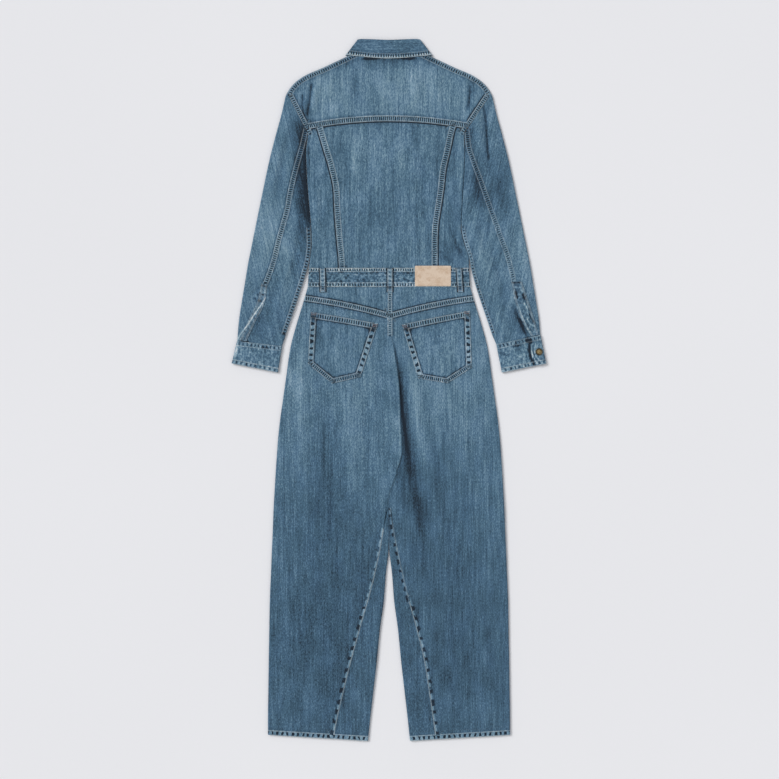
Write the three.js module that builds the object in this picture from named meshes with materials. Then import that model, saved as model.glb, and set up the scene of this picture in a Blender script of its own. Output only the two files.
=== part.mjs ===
// A denim jumpsuit laid flat on its front: collar to +Y, back up, front on the table at z = 0.
// Lengths are millimetres. "Left" is the wearer's left, at -X.
import * as THREE from "three";

// ---- Driving dimensions ----
const WALL = 1.2; // one layer of denim with its turnings
const STACK = 6; // table to the outer face of the upper layer
const SEAM = 0.36; // clearance between two sewn edges
const REST = 0.3; // clearance under a piece that lies on another
const FOLD_STEPS = [90, 45, 8]; // degrees round half of a fold, from a layer to its mid-height
const FULL_FOLD = [90, 45, 0, -45, -90];
const SHOULDER_WRAP = 9; // how far the front reaches over the shoulder
const BAND_TOP = 262;
const BAND_BOTTOM = 221.5;
const BAND_WALL = 2;
const BAND_LIFT = 1.8; // the front of the waistband lies on its loops and button
const BAND_RISE = 0.8; // how far the waistband stands above the panels it joins
const COLLAR_LIFT = 1.5; // the front panels lie on the collar's points
const PLACKET_LIFT = 3.3; // and, in the middle, on the placket and its buttons
const PLACKET_HALF = 19;
const PLACKET_WALL = 1;
const PLACKET_LEVEL = 2;
const LOOP_WIDTH = 15;
const LOOP_WALL = 1.4;
const CUFF_WALL = 1.8;
const BUTTON_RADIUS = 8;
const BUTTON_HEIGHT = 1.7;
const CENTRE_BACK = 2; // the centre back seam stands this far right of the middle

// ---- Finishes ----
const denim = (tone) => new THREE.MeshStandardMaterial({ color: tone, roughness: 0.9, metalness: 0 });
const TONES = { body: 0x53718a, light: 0x5f7d93, dark: 0x41607a, trim: 0x4d6a80 };
const leather = new THREE.MeshStandardMaterial({ color: 0xcab8a6, roughness: 0.6, metalness: 0 });
const brass = new THREE.MeshStandardMaterial({ color: 0x9a8a62, roughness: 0.4, metalness: 0.9 });

// ---- Small sums ----
const radians = (degrees) => (degrees * Math.PI) / 180;
const mix = (a, b, t) => a + (b - a) * t;
const between = (a, b, t) => [mix(a[0], b[0], t), mix(a[1], b[1], t)];
const clamp01 = (t) => Math.min(1, Math.max(0, t));
const ramp = (from, to, value) => clamp01((value - from) / (to - from));
const ease = (t) => t * t * (3 - 2 * t);
const minus = (a, b) => [a[0] - b[0], a[1] - b[1]];
const size = (a) => Math.hypot(a[0], a[1]);
const unit = (a) => [a[0] / size(a), a[1] / size(a)];
const shifted = (a, direction, length) => [a[0] + direction[0] * length, a[1] + direction[1] * length];
const mirrored = (points) => points.map(([x, y]) => [-x, y]);
const steps = (count) => Array.from({ length: count + 1 }, (_, i) => i / count);

// The point a share of the way along a broken line, by length.
function along(line, share) {
  const lengths = line.slice(1).map((p, i) => size(minus(p, line[i])));
  let left = share * lengths.reduce((a, b) => a + b, 0);
  for (let i = 0; i < lengths.length; i += 1) {
    if (left <= lengths[i] || i === lengths.length - 1) {
      return between(line[i], line[i + 1], left / lengths[i]);
    }
    left -= lengths[i];
  }
  return line[0];
}

// A table's value at a height, read between its rows (heights fall down the table).
function reading(table, key, y) {
  if (y >= table[0].y) {
    return table[0][key];
  }
  for (let i = 1; i < table.length; i += 1) {
    if (y >= table[i].y) {
      const share = (y - table[i].y) / (table[i - 1].y - table[i].y);
      return mix(table[i][key], table[i - 1][key], share);
    }
  }
  return table[table.length - 1][key];
}

// ---- Heights of the two layers ----
// What the lower layer lies on, down the middle of the body: collar points, then loops and button.
const LIFTS = [
  { y: 565, lift: COLLAR_LIFT },
  { y: 520, lift: 0 },
  { y: 300, lift: 0 },
  { y: 270, lift: BAND_LIFT },
  { y: 195, lift: BAND_LIFT },
  { y: 140, lift: 0 },
];

function bodyLift(x, y) {
  const overPlacket = y < 656 && y > 92 ? PLACKET_LIFT * ramp(31, 21, Math.abs(x)) : 0;
  return Math.max(reading(LIFTS, "lift", y), overPlacket);
}

const sleeveLift = (x, y) => COLLAR_LIFT * ramp(520, 565, y);

// The seat seam, which runs down the middle and then along the edge of the deep seat fold.
const seatSeam = [
  { y: 160, x: 2 },
  { y: 118, x: 2 },
  { y: 97, x: 12 },
  { y: 72, x: 19 },
  { y: 35, x: 26 },
  { y: -15, x: 30 },
  { y: -63, x: 34 },
  { y: -105, x: 34 },
  { y: -140, x: 27 },
  { y: -186, x: 14 },
  { y: -220, x: 2 },
  { y: -240, x: -1 },
];

// The crease that runs on from the seat fold down the right thigh.
const thighCrease = [
  { y: 100, x: 14 },
  { y: -105, x: 36 },
  { y: -166, x: 41 },
  { y: -202, x: 53 },
  { y: -264, x: 68 },
  { y: -330, x: 76 },
];

const SEAT_RIDGE = { height: 2.6, reach: 46, top: 118, foot: -250 };
const SEAT_TROUGH = { depth: 1.3, reach: 24, top: 100, foot: -322 };
const THIGH_SWELL = { height: 1.6, reach: 26, away: 40, top: 5, full: -60 };

// How far the upper layer stands above its flat level: the largest folds of the seat.
function folds(x, y, side) {
  const span = ease(ramp(SEAT_RIDGE.top, 40, y)) * ease(ramp(SEAT_RIDGE.foot, -170, y));
  if (side < 0) {
    const away = reading(seatSeam, "x", y) - x;
    return SEAT_RIDGE.height * span * ease(clamp01(1 - Math.abs(away) / SEAT_RIDGE.reach));
  }
  const fade = ease(ramp(SEAT_TROUGH.top, 20, y)) * ease(ramp(SEAT_TROUGH.foot, -200, y));
  const away = x - reading(thighCrease, "x", y);
  const trough = ease(clamp01(1 - Math.abs(away) / SEAT_TROUGH.reach));
  const swell = ease(clamp01(1 - Math.abs(away - THIGH_SWELL.away) / THIGH_SWELL.reach));
  const rise = THIGH_SWELL.height * swell * ease(ramp(THIGH_SWELL.top, THIGH_SWELL.full, y));
  return fade * (rise - SEAT_TROUGH.depth * trough);
}

// ---- Spots: a point on the outer face of the cloth and the one under it on the inner face ----
const spotAt = (outer, out, wall) => ({ outer, inner: outer.clone().addScaledVector(out, -wall) });
const facing = (x, y, z, dz, wall) => spotAt(new THREE.Vector3(x, y, z), new THREE.Vector3(0, 0, dz), wall);
const upper = ([x, y], side = 0) => facing(x, y, STACK + (side ? folds(x, y, side) : 0), 1, WALL);
const lower = ([x, y], lift) => facing(x, y, lift(x, y), -1, WALL);

// A spot round the fold at an edge: outward is the way the edge faces in plan.
function turned([x, y], outward, degrees, lift, wall = WALL, top = STACK) {
  const foot = lift(x, y);
  const radius = (top - foot) / 2;
  const across = Math.cos(radians(degrees));
  const up = Math.sin(radians(degrees));
  const inset = radius * (1 - across);
  const outer = new THREE.Vector3(x - outward[0] * inset, y - outward[1] * inset, foot + radius * (1 + up));
  return spotAt(outer, new THREE.Vector3(outward[0] * across, outward[1] * across, up), wall);
}

// Where the fold at an edge meets the flat of a layer.
const foldFoot = ([x, y], outward, lift) => shifted([x, y], outward, (lift(x, y) - STACK) / 2);

// ---- Closed walls ----
// Rows of spots make one closed wall. A cell whose corners are not all there is left out.
function clothWall(rows) {
  const width = Math.max(...rows.map((row) => row.length));
  const count = rows.length * width;
  const positions = new Float32Array(count * 6);
  rows.forEach((row, r) => {
    row.forEach((spot, c) => {
      if (spot) {
        spot.outer.toArray(positions, (r * width + c) * 3);
        spot.inner.toArray(positions, (count + r * width + c) * 3);
      }
    });
  });
  const index = [];
  const rims = new Map();
  const quad = (a, b, c, d) => index.push(a, b, c, a, c, d);
  for (let r = 0; r + 1 < rows.length; r += 1) {
    for (let c = 0; c + 1 < width; c += 1) {
      if (rows[r][c] && rows[r][c + 1] && rows[r + 1][c] && rows[r + 1][c + 1]) {
        const a = r * width + c;
        const corners = [a, a + 1, a + 1 + width, a + width];
        quad(...corners);
        quad(...corners.map((corner) => corner + count).reverse());
        corners.forEach((from, i) => {
          const to = corners[(i + 1) % 4];
          if (!rims.delete(`${to} ${from}`)) {
            rims.set(`${from} ${to}`, [from, to]);
          }
        });
      }
    }
  }
  for (const [from, to] of rims.values()) {
    quad(to, from, from + count, to + count);
  }
  return closedGeometry(positions, index);
}

// Drops points that no face uses, and turns the faces outward.
function closedGeometry(positions, index) {
  const used = [...new Set(index)];
  const place = new Map(used.map((old, fresh) => [old, fresh]));
  const points = new Float32Array(used.flatMap((old) => [...positions.subarray(old * 3, old * 3 + 3)]));
  const faces = index.map((old) => place.get(old));
  const a = new THREE.Vector3();
  const b = new THREE.Vector3();
  const c = new THREE.Vector3();
  let volume = 0;
  for (let i = 0; i < faces.length; i += 3) {
    a.fromArray(points, faces[i] * 3);
    b.fromArray(points, faces[i + 1] * 3);
    c.fromArray(points, faces[i + 2] * 3);
    volume += a.dot(b.cross(c));
  }
  if (volume < 0) {
    faces.reverse();
  }
  const geometry = new THREE.BufferGeometry();
  geometry.setAttribute("position", new THREE.BufferAttribute(points, 3));
  geometry.setIndex(faces);
  return geometry;
}

const garment = new THREE.Group();

function add(name, geometry, material) {
  const mesh = new THREE.Mesh(geometry, material);
  mesh.name = name;
  garment.add(mesh);
  return mesh;
}

const sides = [
  { name: "left", sign: -1 },
  { name: "right", sign: 1 },
];

// ---- Outlines that pieces share ----
// Side folds of the bodice and its princess seams, from the waist up to the underarm.
const bodice = [
  { y: 262.3, left: -172, princessLeft: -101, princessRight: 98, right: 172 },
  { y: 282, left: -169.5, princessLeft: -102, princessRight: 98, right: 172 },
  { y: 314, left: -166, princessLeft: -105, princessRight: 98, right: 162 },
  { y: 347, left: -167, princessLeft: -108, princessRight: 99, right: 155 },
  { y: 390, left: -170.5, princessLeft: -111, princessRight: 105, right: 157 },
  { y: 430, left: -174, princessLeft: -113, princessRight: 111, right: 159.5 },
  { y: 475, left: -177, princessLeft: -122, princessRight: 116, right: 162 },
  { y: 512, left: -178, princessLeft: -133, princessRight: 124.5, right: 163 },
];
const underarm = { left: [-174, 550], right: [161, 550] };
const underarmPrincess = { left: -144.5, right: 132.5 };
const yokePrincess = { left: -149.5, right: 137 };
const yokeSeam = (x) => 586.5 - 0.00055 * x * x;

// The shoulder's fold, from the armhole up to the neck.
const leftShoulder = [
  [-221.5, 632],
  [-217, 641],
  [-204, 658],
  [-180.6, 675],
  [-142, 692],
  [-105, 709.5],
  [-73.2, 724.2],
];
const shoulder = { left: leftShoulder, right: mirrored(leftShoulder) };
const shoulderShares = [0, 0.006, 0.02, 0.09, 0.26, 0.5, 0.75, 1];

// The outward direction of the shoulder's fold at a share of its length.
function shoulderOut(side, share) {
  const ahead = along(shoulder[side.name], Math.min(1, share + 0.04));
  const behind = along(shoulder[side.name], Math.max(0, share - 0.04));
  const way = unit(minus(ahead, behind));
  return side.sign < 0 ? [-way[1], way[0]] : [way[1], -way[0]];
}

const shoulderInset = (side, share, depth) =>
  shifted(along(shoulder[side.name], share), shoulderOut(side, share), -depth);
const armholeTop = {
  left: shoulderInset(sides[0], 0, SHOULDER_WRAP),
  right: shoulderInset(sides[1], 0, SHOULDER_WRAP),
};

// The point of the armhole seam at a height, between the underarm and the shoulder seam.
function armholeAt(side, y) {
  const foot = underarm[side.name];
  const top = armholeTop[side.name];
  return between(foot, top, (y - foot[1]) / (top[1] - foot[1]));
}

// Where the yoke seam meets the armhole.
const yokeEnd = { left: armholeAt(sides[0], 568.1), right: armholeAt(sides[1], 569.6) };

// The front neckline, from the neck point of the shoulder down to the centre front.
const leftNeckline = [
  [-0.2, 652],
  [-34, 663],
  [-58, 686],
];

// ---- Bodice back ----
const BODICE_TOP = { underarm: "underarm", seam: "seam" };

// The rows of the bodice back: its heights, then the underarm, then the yoke seam.
const bodiceStations = [
  ...bodice,
  { y: underarm.left[1], kind: BODICE_TOP.underarm },
  { y: yokeSeam(0), kind: BODICE_TOP.seam },
];

function sideBack(side) {
  const princess = side.sign < 0 ? "princessLeft" : "princessRight";
  const rows = bodiceStations.map((station) => {
    if (station.kind) {
      const top = station.kind === BODICE_TOP.seam;
      const edge = top ? yokeEnd[side.name] : underarm[side.name];
      const innerX = (top ? yokePrincess : underarmPrincess)[side.name] + (side.sign * SEAM) / 2;
      const at = (x) => [x, top ? yokeSeam(x) - SEAM / 2 : station.y];
      const insets = [0, 1, 3].map((inset) => mix(edge[0], innerX, inset / Math.abs(edge[0] - innerX)));
      return [...insets, mix(insets[2], innerX, 0.5), innerX].map((x) => upper(at(x)));
    }
    const edge = [station[side.name], station.y];
    const outward = [side.sign, 0];
    const foot = foldFoot(edge, outward, bodyLift);
    const inner = [station[princess] + (side.sign * SEAM) / 2, station.y];
    const round = [...FOLD_STEPS].reverse().map((angle) => turned(edge, outward, angle, bodyLift));
    return [...round, upper(between(foot, inner, 0.5)), upper(inner)];
  });
  return clothWall(rows);
}

function centreBack() {
  const rows = bodiceStations.map((station) => {
    const top = station.kind === BODICE_TOP.seam;
    const table = top ? yokePrincess : underarmPrincess;
    const left = (station.kind ? table.left : station.princessLeft) + SEAM / 2;
    const right = (station.kind ? table.right : station.princessRight) - SEAM / 2;
    return steps(7).map((share) => {
      const x = mix(left, right, share);
      return upper([x, top ? yokeSeam(x) - SEAM / 2 : station.y]);
    });
  });
  return clothWall(rows);
}

const NECK_Y = 716;

function yoke() {
  const depth = SHOULDER_WRAP + SEAM;
  const seam = (side) => shoulderShares.map((share) => shoulderInset(side, share, depth));
  const [left, right] = sides.map(seam);
  const neckEnd = left[left.length - 1][0];
  const neck = [0.25, 0.5, 0.75].map((share) => [mix(neckEnd, -neckEnd, share), NECK_Y]);
  const top = [...left, ...neck, ...right.reverse()];
  const [from, to] = [top[0][0], top[top.length - 1][0]];
  const foot = top.map(([x]) => {
    const share = (x - from) / (to - from);
    const across = mix(yokeEnd.left[0], yokeEnd.right[0], share);
    return [across, yokeSeam(across) + SEAM / 2];
  });
  const rows = steps(3).map((share) => foot.map((point, i) => upper(between(point, top[i], share))));
  return clothWall(rows);
}

// ---- Bodice front, which lies on the table ----
const CREST = [31, 21]; // where the front rises over the placket, from the middle

function frontFlat(side, edgeFoot, inner) {
  const crest = CREST.map((x) => [side.sign * x, mix(edgeFoot[1], inner[1], 1 - x / Math.abs(edgeFoot[0]))]);
  return [between(edgeFoot, crest[0], 0.5), ...crest, inner].map((point) => lower(point, bodyLift));
}

function bodiceFront(side) {
  const outward = [side.sign, 0];
  const centre = (y) => [side.sign * 0.2, y];
  const sideRows = bodice.map((station) => {
    const edge = [station[side.name], station.y];
    const foot = foldFoot(edge, outward, bodyLift);
    const round = [...FOLD_STEPS].reverse().map((angle) => turned(edge, outward, -angle, bodyLift));
    const near = between(foot, centre(station.y), 0.2);
    return [...round, lower(near, bodyLift), ...frontFlat(side, foot, centre(station.y))];
  });
  const neckline = side.sign < 0 ? leftNeckline : mirrored(leftNeckline);
  const inners = [centre(600), ...neckline];
  const armRows = inners.map((inner, i) => {
    const edge = between(underarm[side.name], armholeTop[side.name], i / (inners.length - 1));
    const insets = [0, 1, 3].map((inset) => between(edge, inner, inset / size(minus(inner, edge))));
    const near = between(insets[2], inner, 0.2);
    const flat =
      i < 2
        ? frontFlat(side, insets[2], inner)
        : [0.5, 0.8, 0.9, 1].map((share) => between(insets[2], inner, share)).map((p) => lower(p, bodyLift));
    return [...insets.map((p) => lower(p, bodyLift)), lower(near, bodyLift), ...flat];
  });
  const wrapRows = [...FULL_FOLD].reverse().map((angle) =>
    shoulderShares.map((share) => {
      const edge = along(shoulder[side.name], share);
      return turned(edge, shoulderOut(side, share), angle, bodyLift);
    }),
  );
  const seamRow = shoulderShares.map((share) => upper(shoulderInset(side, share, SHOULDER_WRAP)));
  return clothWall([...sideRows, ...armRows, ...wrapRows, seamRow]);
}

// A plain strip: a centre line in plan, a half width, and the level of its lower face.
function strip(points, halfWidth, level, wall) {
  const row = ([x, y]) => [x - halfWidth, x + halfWidth].map((px) => facing(px, y, level + wall, 1, wall));
  return clothWall(points.map(row));
}

// ---- Sleeves ----
// Rows across a sleeve: its outer fold, its back seam and its inner fold.
const leftSleeve = [
  { out: [-231, 592], seam: [-186.5, 524], inner: [-178.8, 512] },
  { out: [-243, 548], seam: [-195, 494], inner: [-177.8, 475] },
  { out: [-254, 506], seam: [-204.5, 458], inner: [-174.8, 430] },
  { out: [-263, 466], seam: [-213.3, 425], inner: [-171.3, 390] },
  { out: [-271.5, 425], seam: [-222.4, 388], inner: [-167.8, 347] },
  { out: [-280, 384], seam: [-230, 353], inner: [-166.8, 314] },
  { out: [-287.5, 347], seam: [-237.3, 319], inner: [-170.3, 282] },
  { out: [-295, 310], seam: [-244.6, 288], inner: [-176, 258] },
  { out: [-303, 270], seam: [-257.3, 248], inner: [-189, 215] },
  { out: [-309.5, 230], seam: [-267.5, 209], inner: [-202, 176] },
  { out: [-317, 185], seam: [-283, 172], inner: [-212, 147] },
  { out: [-322.5, 148], seam: [-299.5, 141], inner: [-221, 120] },
  { out: [-326, 105.3], seam: [-314, 104], inner: [-229.6, 94.3] },
];
const rightSleeve = [
  { out: [231, 592], seam: [171.5, 521], inner: [163.8, 512] },
  { out: [243, 548], seam: [181, 491.5], inner: [162.8, 475] },
  { out: [254, 506], seam: [193.8, 457.5], inner: [160.3, 430] },
  { out: [263, 466], seam: [205.5, 424.8], inner: [157.8, 390] },
  { out: [271.5, 425], seam: [220, 390.7], inner: [155.8, 347] },
  { out: [280, 384], seam: [233.2, 356.3], inner: [162.8, 314] },
  { out: [287.5, 347], seam: [244.8, 322.6], inner: [172.8, 282] },
  { out: [295, 310], seam: [255, 292.4], inner: [177, 258] },
  { out: [303, 270], seam: [264.2, 251.2], inner: [189, 215] },
  { out: [309.5, 230], seam: [268, 209], inner: [202, 176] },
  { out: [317, 185], seam: [278, 171], inner: [212, 147] },
  { out: [322.5, 148], seam: [290, 139], inner: [221, 120] },
  { out: [325, 118.3], seam: [306, 114.3], inner: [230.5, 98.3] },
];
const sleeve = { left: leftSleeve, right: rightSleeve };
const SLEEVE_SEAM_TOP = 559; // the height at which a sleeve's back seam meets the armhole

// The row of a sleeve that is sewn into the armhole, just clear of the bodice.
function armholeRow(side) {
  const clear = ([x, y]) => [x + side.sign * 0.3, y - 0.26];
  return {
    out: clear(shoulder[side.name][0]),
    corner: clear(armholeTop[side.name]),
    seam: clear(armholeAt(side, SLEEVE_SEAM_TOP)),
    inner: clear(underarm[side.name]),
  };
}

function sleeveTop(side) {
  const hole = armholeRow(side);
  const rows = sleeve[side.name].map((row) => {
    const outward = unit(minus(row.out, row.seam));
    const inward = unit(minus(row.inner, row.seam));
    const start = shifted(row.seam, outward, SEAM / 2);
    const outFoot = foldFoot(row.out, outward, sleeveLift);
    const innerFoot = foldFoot(row.inner, inward, sleeveLift);
    return [
      upper(start),
      upper(between(start, outFoot, 0.5)),
      ...FULL_FOLD.map((angle) => turned(row.out, outward, angle, sleeveLift)),
      lower(between(outFoot, innerFoot, 0.5), sleeveLift),
      ...FOLD_STEPS.map((angle) => turned(row.inner, inward, -angle, sleeveLift)),
    ];
  });
  const outward = unit(minus(hole.out, hole.corner));
  const start = shifted(hole.seam, unit(minus(hole.corner, hole.seam)), SEAM / 2);
  const seamLength = size(minus(hole.corner, hole.inner));
  const insets = [3, 1, 0].map((inset) => between(hole.inner, hole.corner, inset / seamLength));
  const first = [
    upper(start),
    upper(hole.corner),
    ...FULL_FOLD.map((angle) => turned(hole.out, outward, angle, sleeveLift)),
    lower(between(hole.corner, hole.inner, 0.02), sleeveLift),
    ...insets.map((point) => lower(point, sleeveLift)),
  ];
  return clothWall([first, ...rows]);
}

function sleeveUnder(side) {
  const hole = armholeRow(side);
  const rows = sleeve[side.name].map((row) => {
    const inward = unit(minus(row.inner, row.seam));
    const end = shifted(row.seam, inward, SEAM / 2);
    const foot = foldFoot(row.inner, inward, sleeveLift);
    const round = [...FOLD_STEPS].reverse().map((angle) => turned(row.inner, inward, angle, sleeveLift));
    return [...round, upper(between(foot, end, 0.5)), upper(end)];
  });
  const end = shifted(hole.seam, unit(minus(hole.inner, hole.seam)), SEAM / 2);
  const first = [0, 0.12, 0.35, 0.65, 1].map((share) => upper(between(hole.inner, end, share)));
  return clothWall([first, ...rows]);
}

// The strip that finishes the sleeve's slit, laid along the seam and drawn in at the cuff.
const sleevePlacket = {
  left: [
    { outer: [-274, 229], inner: [-261, 226] },
    { outer: [-281, 196], inner: [-266.5, 190] },
    { outer: [-301, 152], inner: [-287, 146] },
    { outer: [-321.5, 106.5], inner: [-306, 104.5] },
  ],
  right: [
    { outer: [285, 233], inner: [262, 232] },
    { outer: [296, 200], inner: [273, 181] },
    { outer: [312, 152], inner: [291, 138] },
    { outer: [321, 119], inner: [305, 115.6] },
  ],
};

function placketStrip(side) {
  const raised = STACK + REST + PLACKET_WALL;
  const row = ({ outer, inner }) => [outer, inner].map(([x, y]) => facing(x, y, raised, 1, PLACKET_WALL));
  return clothWall(sleevePlacket[side.name].map(row));
}

// ---- Cuffs ----
const cuff = {
  left: { outTop: [-326.4, 105], innerTop: [-229.4, 94], outFoot: [-338, 57], innerFoot: [-238.2, 37.5] },
  right: { outTop: [325.5, 118], innerTop: [230.3, 98], outFoot: [338, 57], innerFoot: [242.5, 37.5] },
};
const cuffLap = { left: 0.86, right: 0.8 }; // where its end lies, from the inner fold to the outer one
const CUFF_START = 0.93; // where the right cuff's covered end lies
const CUFF_TOP = { left: 7, right: 6.2 };

// The right cuff laps over itself on the upper layer. The left one ends underneath, on its button.
function cuffRow(side, out, inner) {
  const outward = unit(minus(out, inner));
  const inward = [-outward[0], -outward[1]];
  const top = CUFF_TOP[side.name];
  const onLap = top + CUFF_WALL + REST;
  const at = (share) => between(inner, out, share);
  const length = size(minus(out, inner));
  const under = (x) => {
    const share = clamp01(Math.abs(x - inner[0]) / length);
    return side.sign < 0 ? (BUTTON_HEIGHT + REST) * ease(ramp(0.3, 0.8, share)) : 0;
  };
  const flatUp = (share, z) => facing(...at(share), z, 1, CUFF_WALL);
  const flatDown = (share) => facing(...at(share), under(at(share)[0]), -1, CUFF_WALL);
  const round = (edge, way, angle, height) => turned(edge, way, angle, under, CUFF_WALL, height);
  if (side.sign < 0) {
    return [
      flatDown(cuffLap.left - 0.002),
      flatDown(0.55),
      flatDown(0.3),
      ...[...FULL_FOLD].reverse().map((angle) => round(inner, inward, angle, top)),
      flatUp(0.5, top),
      ...FULL_FOLD.map((angle) => round(out, outward, angle, top)),
      flatDown(cuffLap.left + 0.002),
    ];
  }
  return [
    flatUp(CUFF_START, top),
    flatUp(0.5, top),
    ...FULL_FOLD.map((angle) => round(inner, inward, angle, top)),
    flatDown(0.5),
    ...[...FULL_FOLD].reverse().map((angle) => round(out, outward, angle, onLap)),
    flatUp(cuffLap.right + 0.06, onLap),
    flatUp(cuffLap.right, onLap),
  ];
}

function cuffWall(side) {
  const { outTop, innerTop, outFoot, innerFoot } = cuff[side.name];
  const rows = [0, 0.5, 1].map((share) =>
    cuffRow(side, between(outTop, outFoot, share), between(innerTop, innerFoot, share)),
  );
  return clothWall(rows);
}

// A shank button: a low dished head and a short shank, on its axis.
function buttonGeometry(height) {
  const profile = [
    new THREE.Vector2(0, 0),
    new THREE.Vector2(BUTTON_RADIUS * 0.9, 0),
    new THREE.Vector2(BUTTON_RADIUS, height * 0.35),
    new THREE.Vector2(BUTTON_RADIUS * 0.9, height),
    new THREE.Vector2(0, height),
  ];
  const lathe = new THREE.LatheGeometry(profile, 14);
  lathe.rotateX(Math.PI / 2);
  return weld(lathe);
}

// Merges a turned shape's doubled points and leaves out its faces with no area.
function weld(geometry) {
  const source = geometry.getAttribute("position");
  const keys = new Map();
  const points = [];
  const place = [];
  for (let i = 0; i < source.count; i += 1) {
    const point = [source.getX(i), source.getY(i), source.getZ(i)].map((v) => Math.round(v * 1e4) / 1e4 + 0);
    const key = point.join(" ");
    if (!keys.has(key)) {
      keys.set(key, keys.size);
      points.push(...point);
    }
    place.push(keys.get(key));
  }
  const faces = [];
  for (let i = 0; i < geometry.index.count; i += 3) {
    const [a, b, c] = [0, 1, 2].map((k) => place[geometry.index.getX(i + k)]);
    if (a !== b && b !== c && c !== a) {
      faces.push(a, b, c);
    }
  }
  return closedGeometry(new Float32Array(points), faces);
}

function addButton(name, x, y, z, height = BUTTON_HEIGHT) {
  const mesh = add(name, buttonGeometry(height), brass);
  mesh.position.set(x, y, z);
}

// ---- Collar ----
// Half of the collar from the middle of the back, round the side of the neck, to the centre front:
// its fold line, the edge of its fall, the edge of its stand, and the way the cloth faces there.
const collarHalf = [
  { turn: 90, fold: [0, 751.8], fall: [0, 711.7], stand: [0, 716.5] },
  { turn: 90, fold: [34, 753], fall: [38, 713.8], stand: [35, 716.5] },
  { turn: 90, fold: [58, 753.6], fall: [70, 717], stand: [58, 716.8] },
  { turn: 90, fold: [64, 753], fall: [90, 718.5], stand: [66.5, 724] },
  { turn: 45, fold: [64, 753], fall: [90, 718.5], stand: [66.5, 724] },
  { turn: 0, fold: [64, 753], fall: [90, 718.5], stand: [66.5, 724] },
  { turn: -45, fold: [64, 753], fall: [90, 718.5], stand: [66.5, 724] },
  { turn: -90, fold: [64, 753], fall: [90, 718.5], stand: [66.5, 724] },
  { turn: -90, fold: [47, 716], fall: [92, 660], stand: [57.4, 687] },
  { turn: -90, fold: [27, 695], fall: [84, 624], stand: [33.6, 664] },
  { turn: -90, fold: [6, 686], fall: [66, 598], stand: [0.6, 653.2] },
];
const COLLAR_MIDDLE = (STACK + COLLAR_LIFT) / 2;
const COLLAR_INNER = COLLAR_MIDDLE - COLLAR_LIFT - WALL; // from the middle level to the stand's inner face
const COLLAR_BEND = 2.5; // how far from the fold line the cloth starts to turn

function collarSection(row, sign) {
  const way = [sign * Math.cos(radians(row.turn)), Math.sin(radians(row.turn))];
  const place = ([x, y], depth) =>
    new THREE.Vector3(sign * x + way[0] * depth, y, COLLAR_MIDDLE + way[1] * depth);
  const standOut = COLLAR_INNER + WALL;
  const fallIn = standOut + REST;
  const fallOut = fallIn + WALL;
  const toFall = unit(minus(row.fall, row.fold));
  const toStand = unit(minus(row.stand, row.fold));
  const bend = (direction, depth, times) => place(shifted(row.fold, direction, COLLAR_BEND * times), depth);
  const inward = unit([toFall[0] + toStand[0], toFall[1] + toStand[1]]);
  const crotch = shifted(row.fold, inward, COLLAR_BEND * 1.3);
  return [
    { outer: place(row.fall, fallOut), inner: place(row.fall, fallIn) },
    { outer: bend(toFall, fallOut, 1), inner: bend(toFall, fallIn, 2) },
    { outer: place(row.fold, (fallOut + COLLAR_INNER) / 2), inner: place(crotch, standOut + REST / 2) },
    { outer: bend(toStand, COLLAR_INNER, 1), inner: bend(toStand, standOut, 2) },
    { outer: place(row.stand, COLLAR_INNER), inner: place(row.stand, standOut) },
  ];
}

function collar() {
  const left = [...collarHalf].reverse().map((row) => collarSection(row, -1));
  const right = collarHalf.slice(1).map((row) => collarSection(row, 1));
  return clothWall([...left, ...right]);
}

// ---- Waistband, loops and patch ----
const band = { top: 172, foot: 174.5 };
const bandLift = () => BAND_LIFT;
const BAND_OUTER = STACK + BAND_RISE;

function waistband() {
  const rows = [
    { y: BAND_BOTTOM, half: band.foot },
    { y: BAND_TOP, half: band.top },
  ].map(({ y, half }) => {
    const fold = (sign, angles) =>
      angles.map((angle) => turned([sign * half, y], [sign, 0], angle, bandLift, BAND_WALL, BAND_OUTER));
    const down = (x) => facing(x, y, BAND_LIFT, -1, BAND_WALL);
    const up = (x) => facing(x, y, BAND_OUTER, 1, BAND_WALL);
    return [
      down(-0.2),
      down(-half * 0.5),
      ...fold(-1, [...FULL_FOLD].reverse()),
      ...[-0.5, 0, 0.5].map((share) => up(half * share)),
      ...fold(1, FULL_FOLD),
      down(half * 0.5),
      down(0.2),
    ];
  });
  return clothWall(rows);
}

// A belt loop's lower face down its length: sewn flat at the top, lifted, then down on the yoke.
const loopProfile = [
  { y: 262, level: BAND_OUTER + REST },
  { y: 257, level: BAND_OUTER + REST },
  { y: 250, level: BAND_OUTER + REST + 1 },
  { y: 233, level: BAND_OUTER + REST + 1 },
  { y: 225, level: BAND_OUTER + REST },
  { y: 220.5, level: BAND_OUTER + REST },
  { y: 218, level: STACK + REST },
  { y: 210, level: STACK + REST },
];
const backLoops = [
  { x: -143, lean: 0.3 },
  { x: CENTRE_BACK, lean: 0 },
  { x: 150, lean: 1 },
];
const frontLoops = [{ x: -92 }, { x: 92 }];

function backLoop({ x, lean }) {
  const rows = loopProfile.map(({ y, level }) => {
    const middle = x + lean * ((y - loopProfile[0].y) / LOOP_WIDTH) * -1;
    const half = LOOP_WIDTH / 2;
    return [middle - half, middle + half].map((px) => facing(px, y, level + LOOP_WALL, 1, LOOP_WALL));
  });
  return clothWall(rows);
}

// ---- Hips and legs ----
// The seam between hip yoke and leg, a wide V that points down at the centre back.
function hipSeam(x) {
  const away = Math.abs(x - CENTRE_BACK);
  return 159 + 0.29 * away - 0.00045 * away * away;
}

const HIP_OUT = [
  { y: BAND_BOTTOM - 0.3, half: 174.5 },
  { y: 197, half: 181.5 },
];

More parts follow.
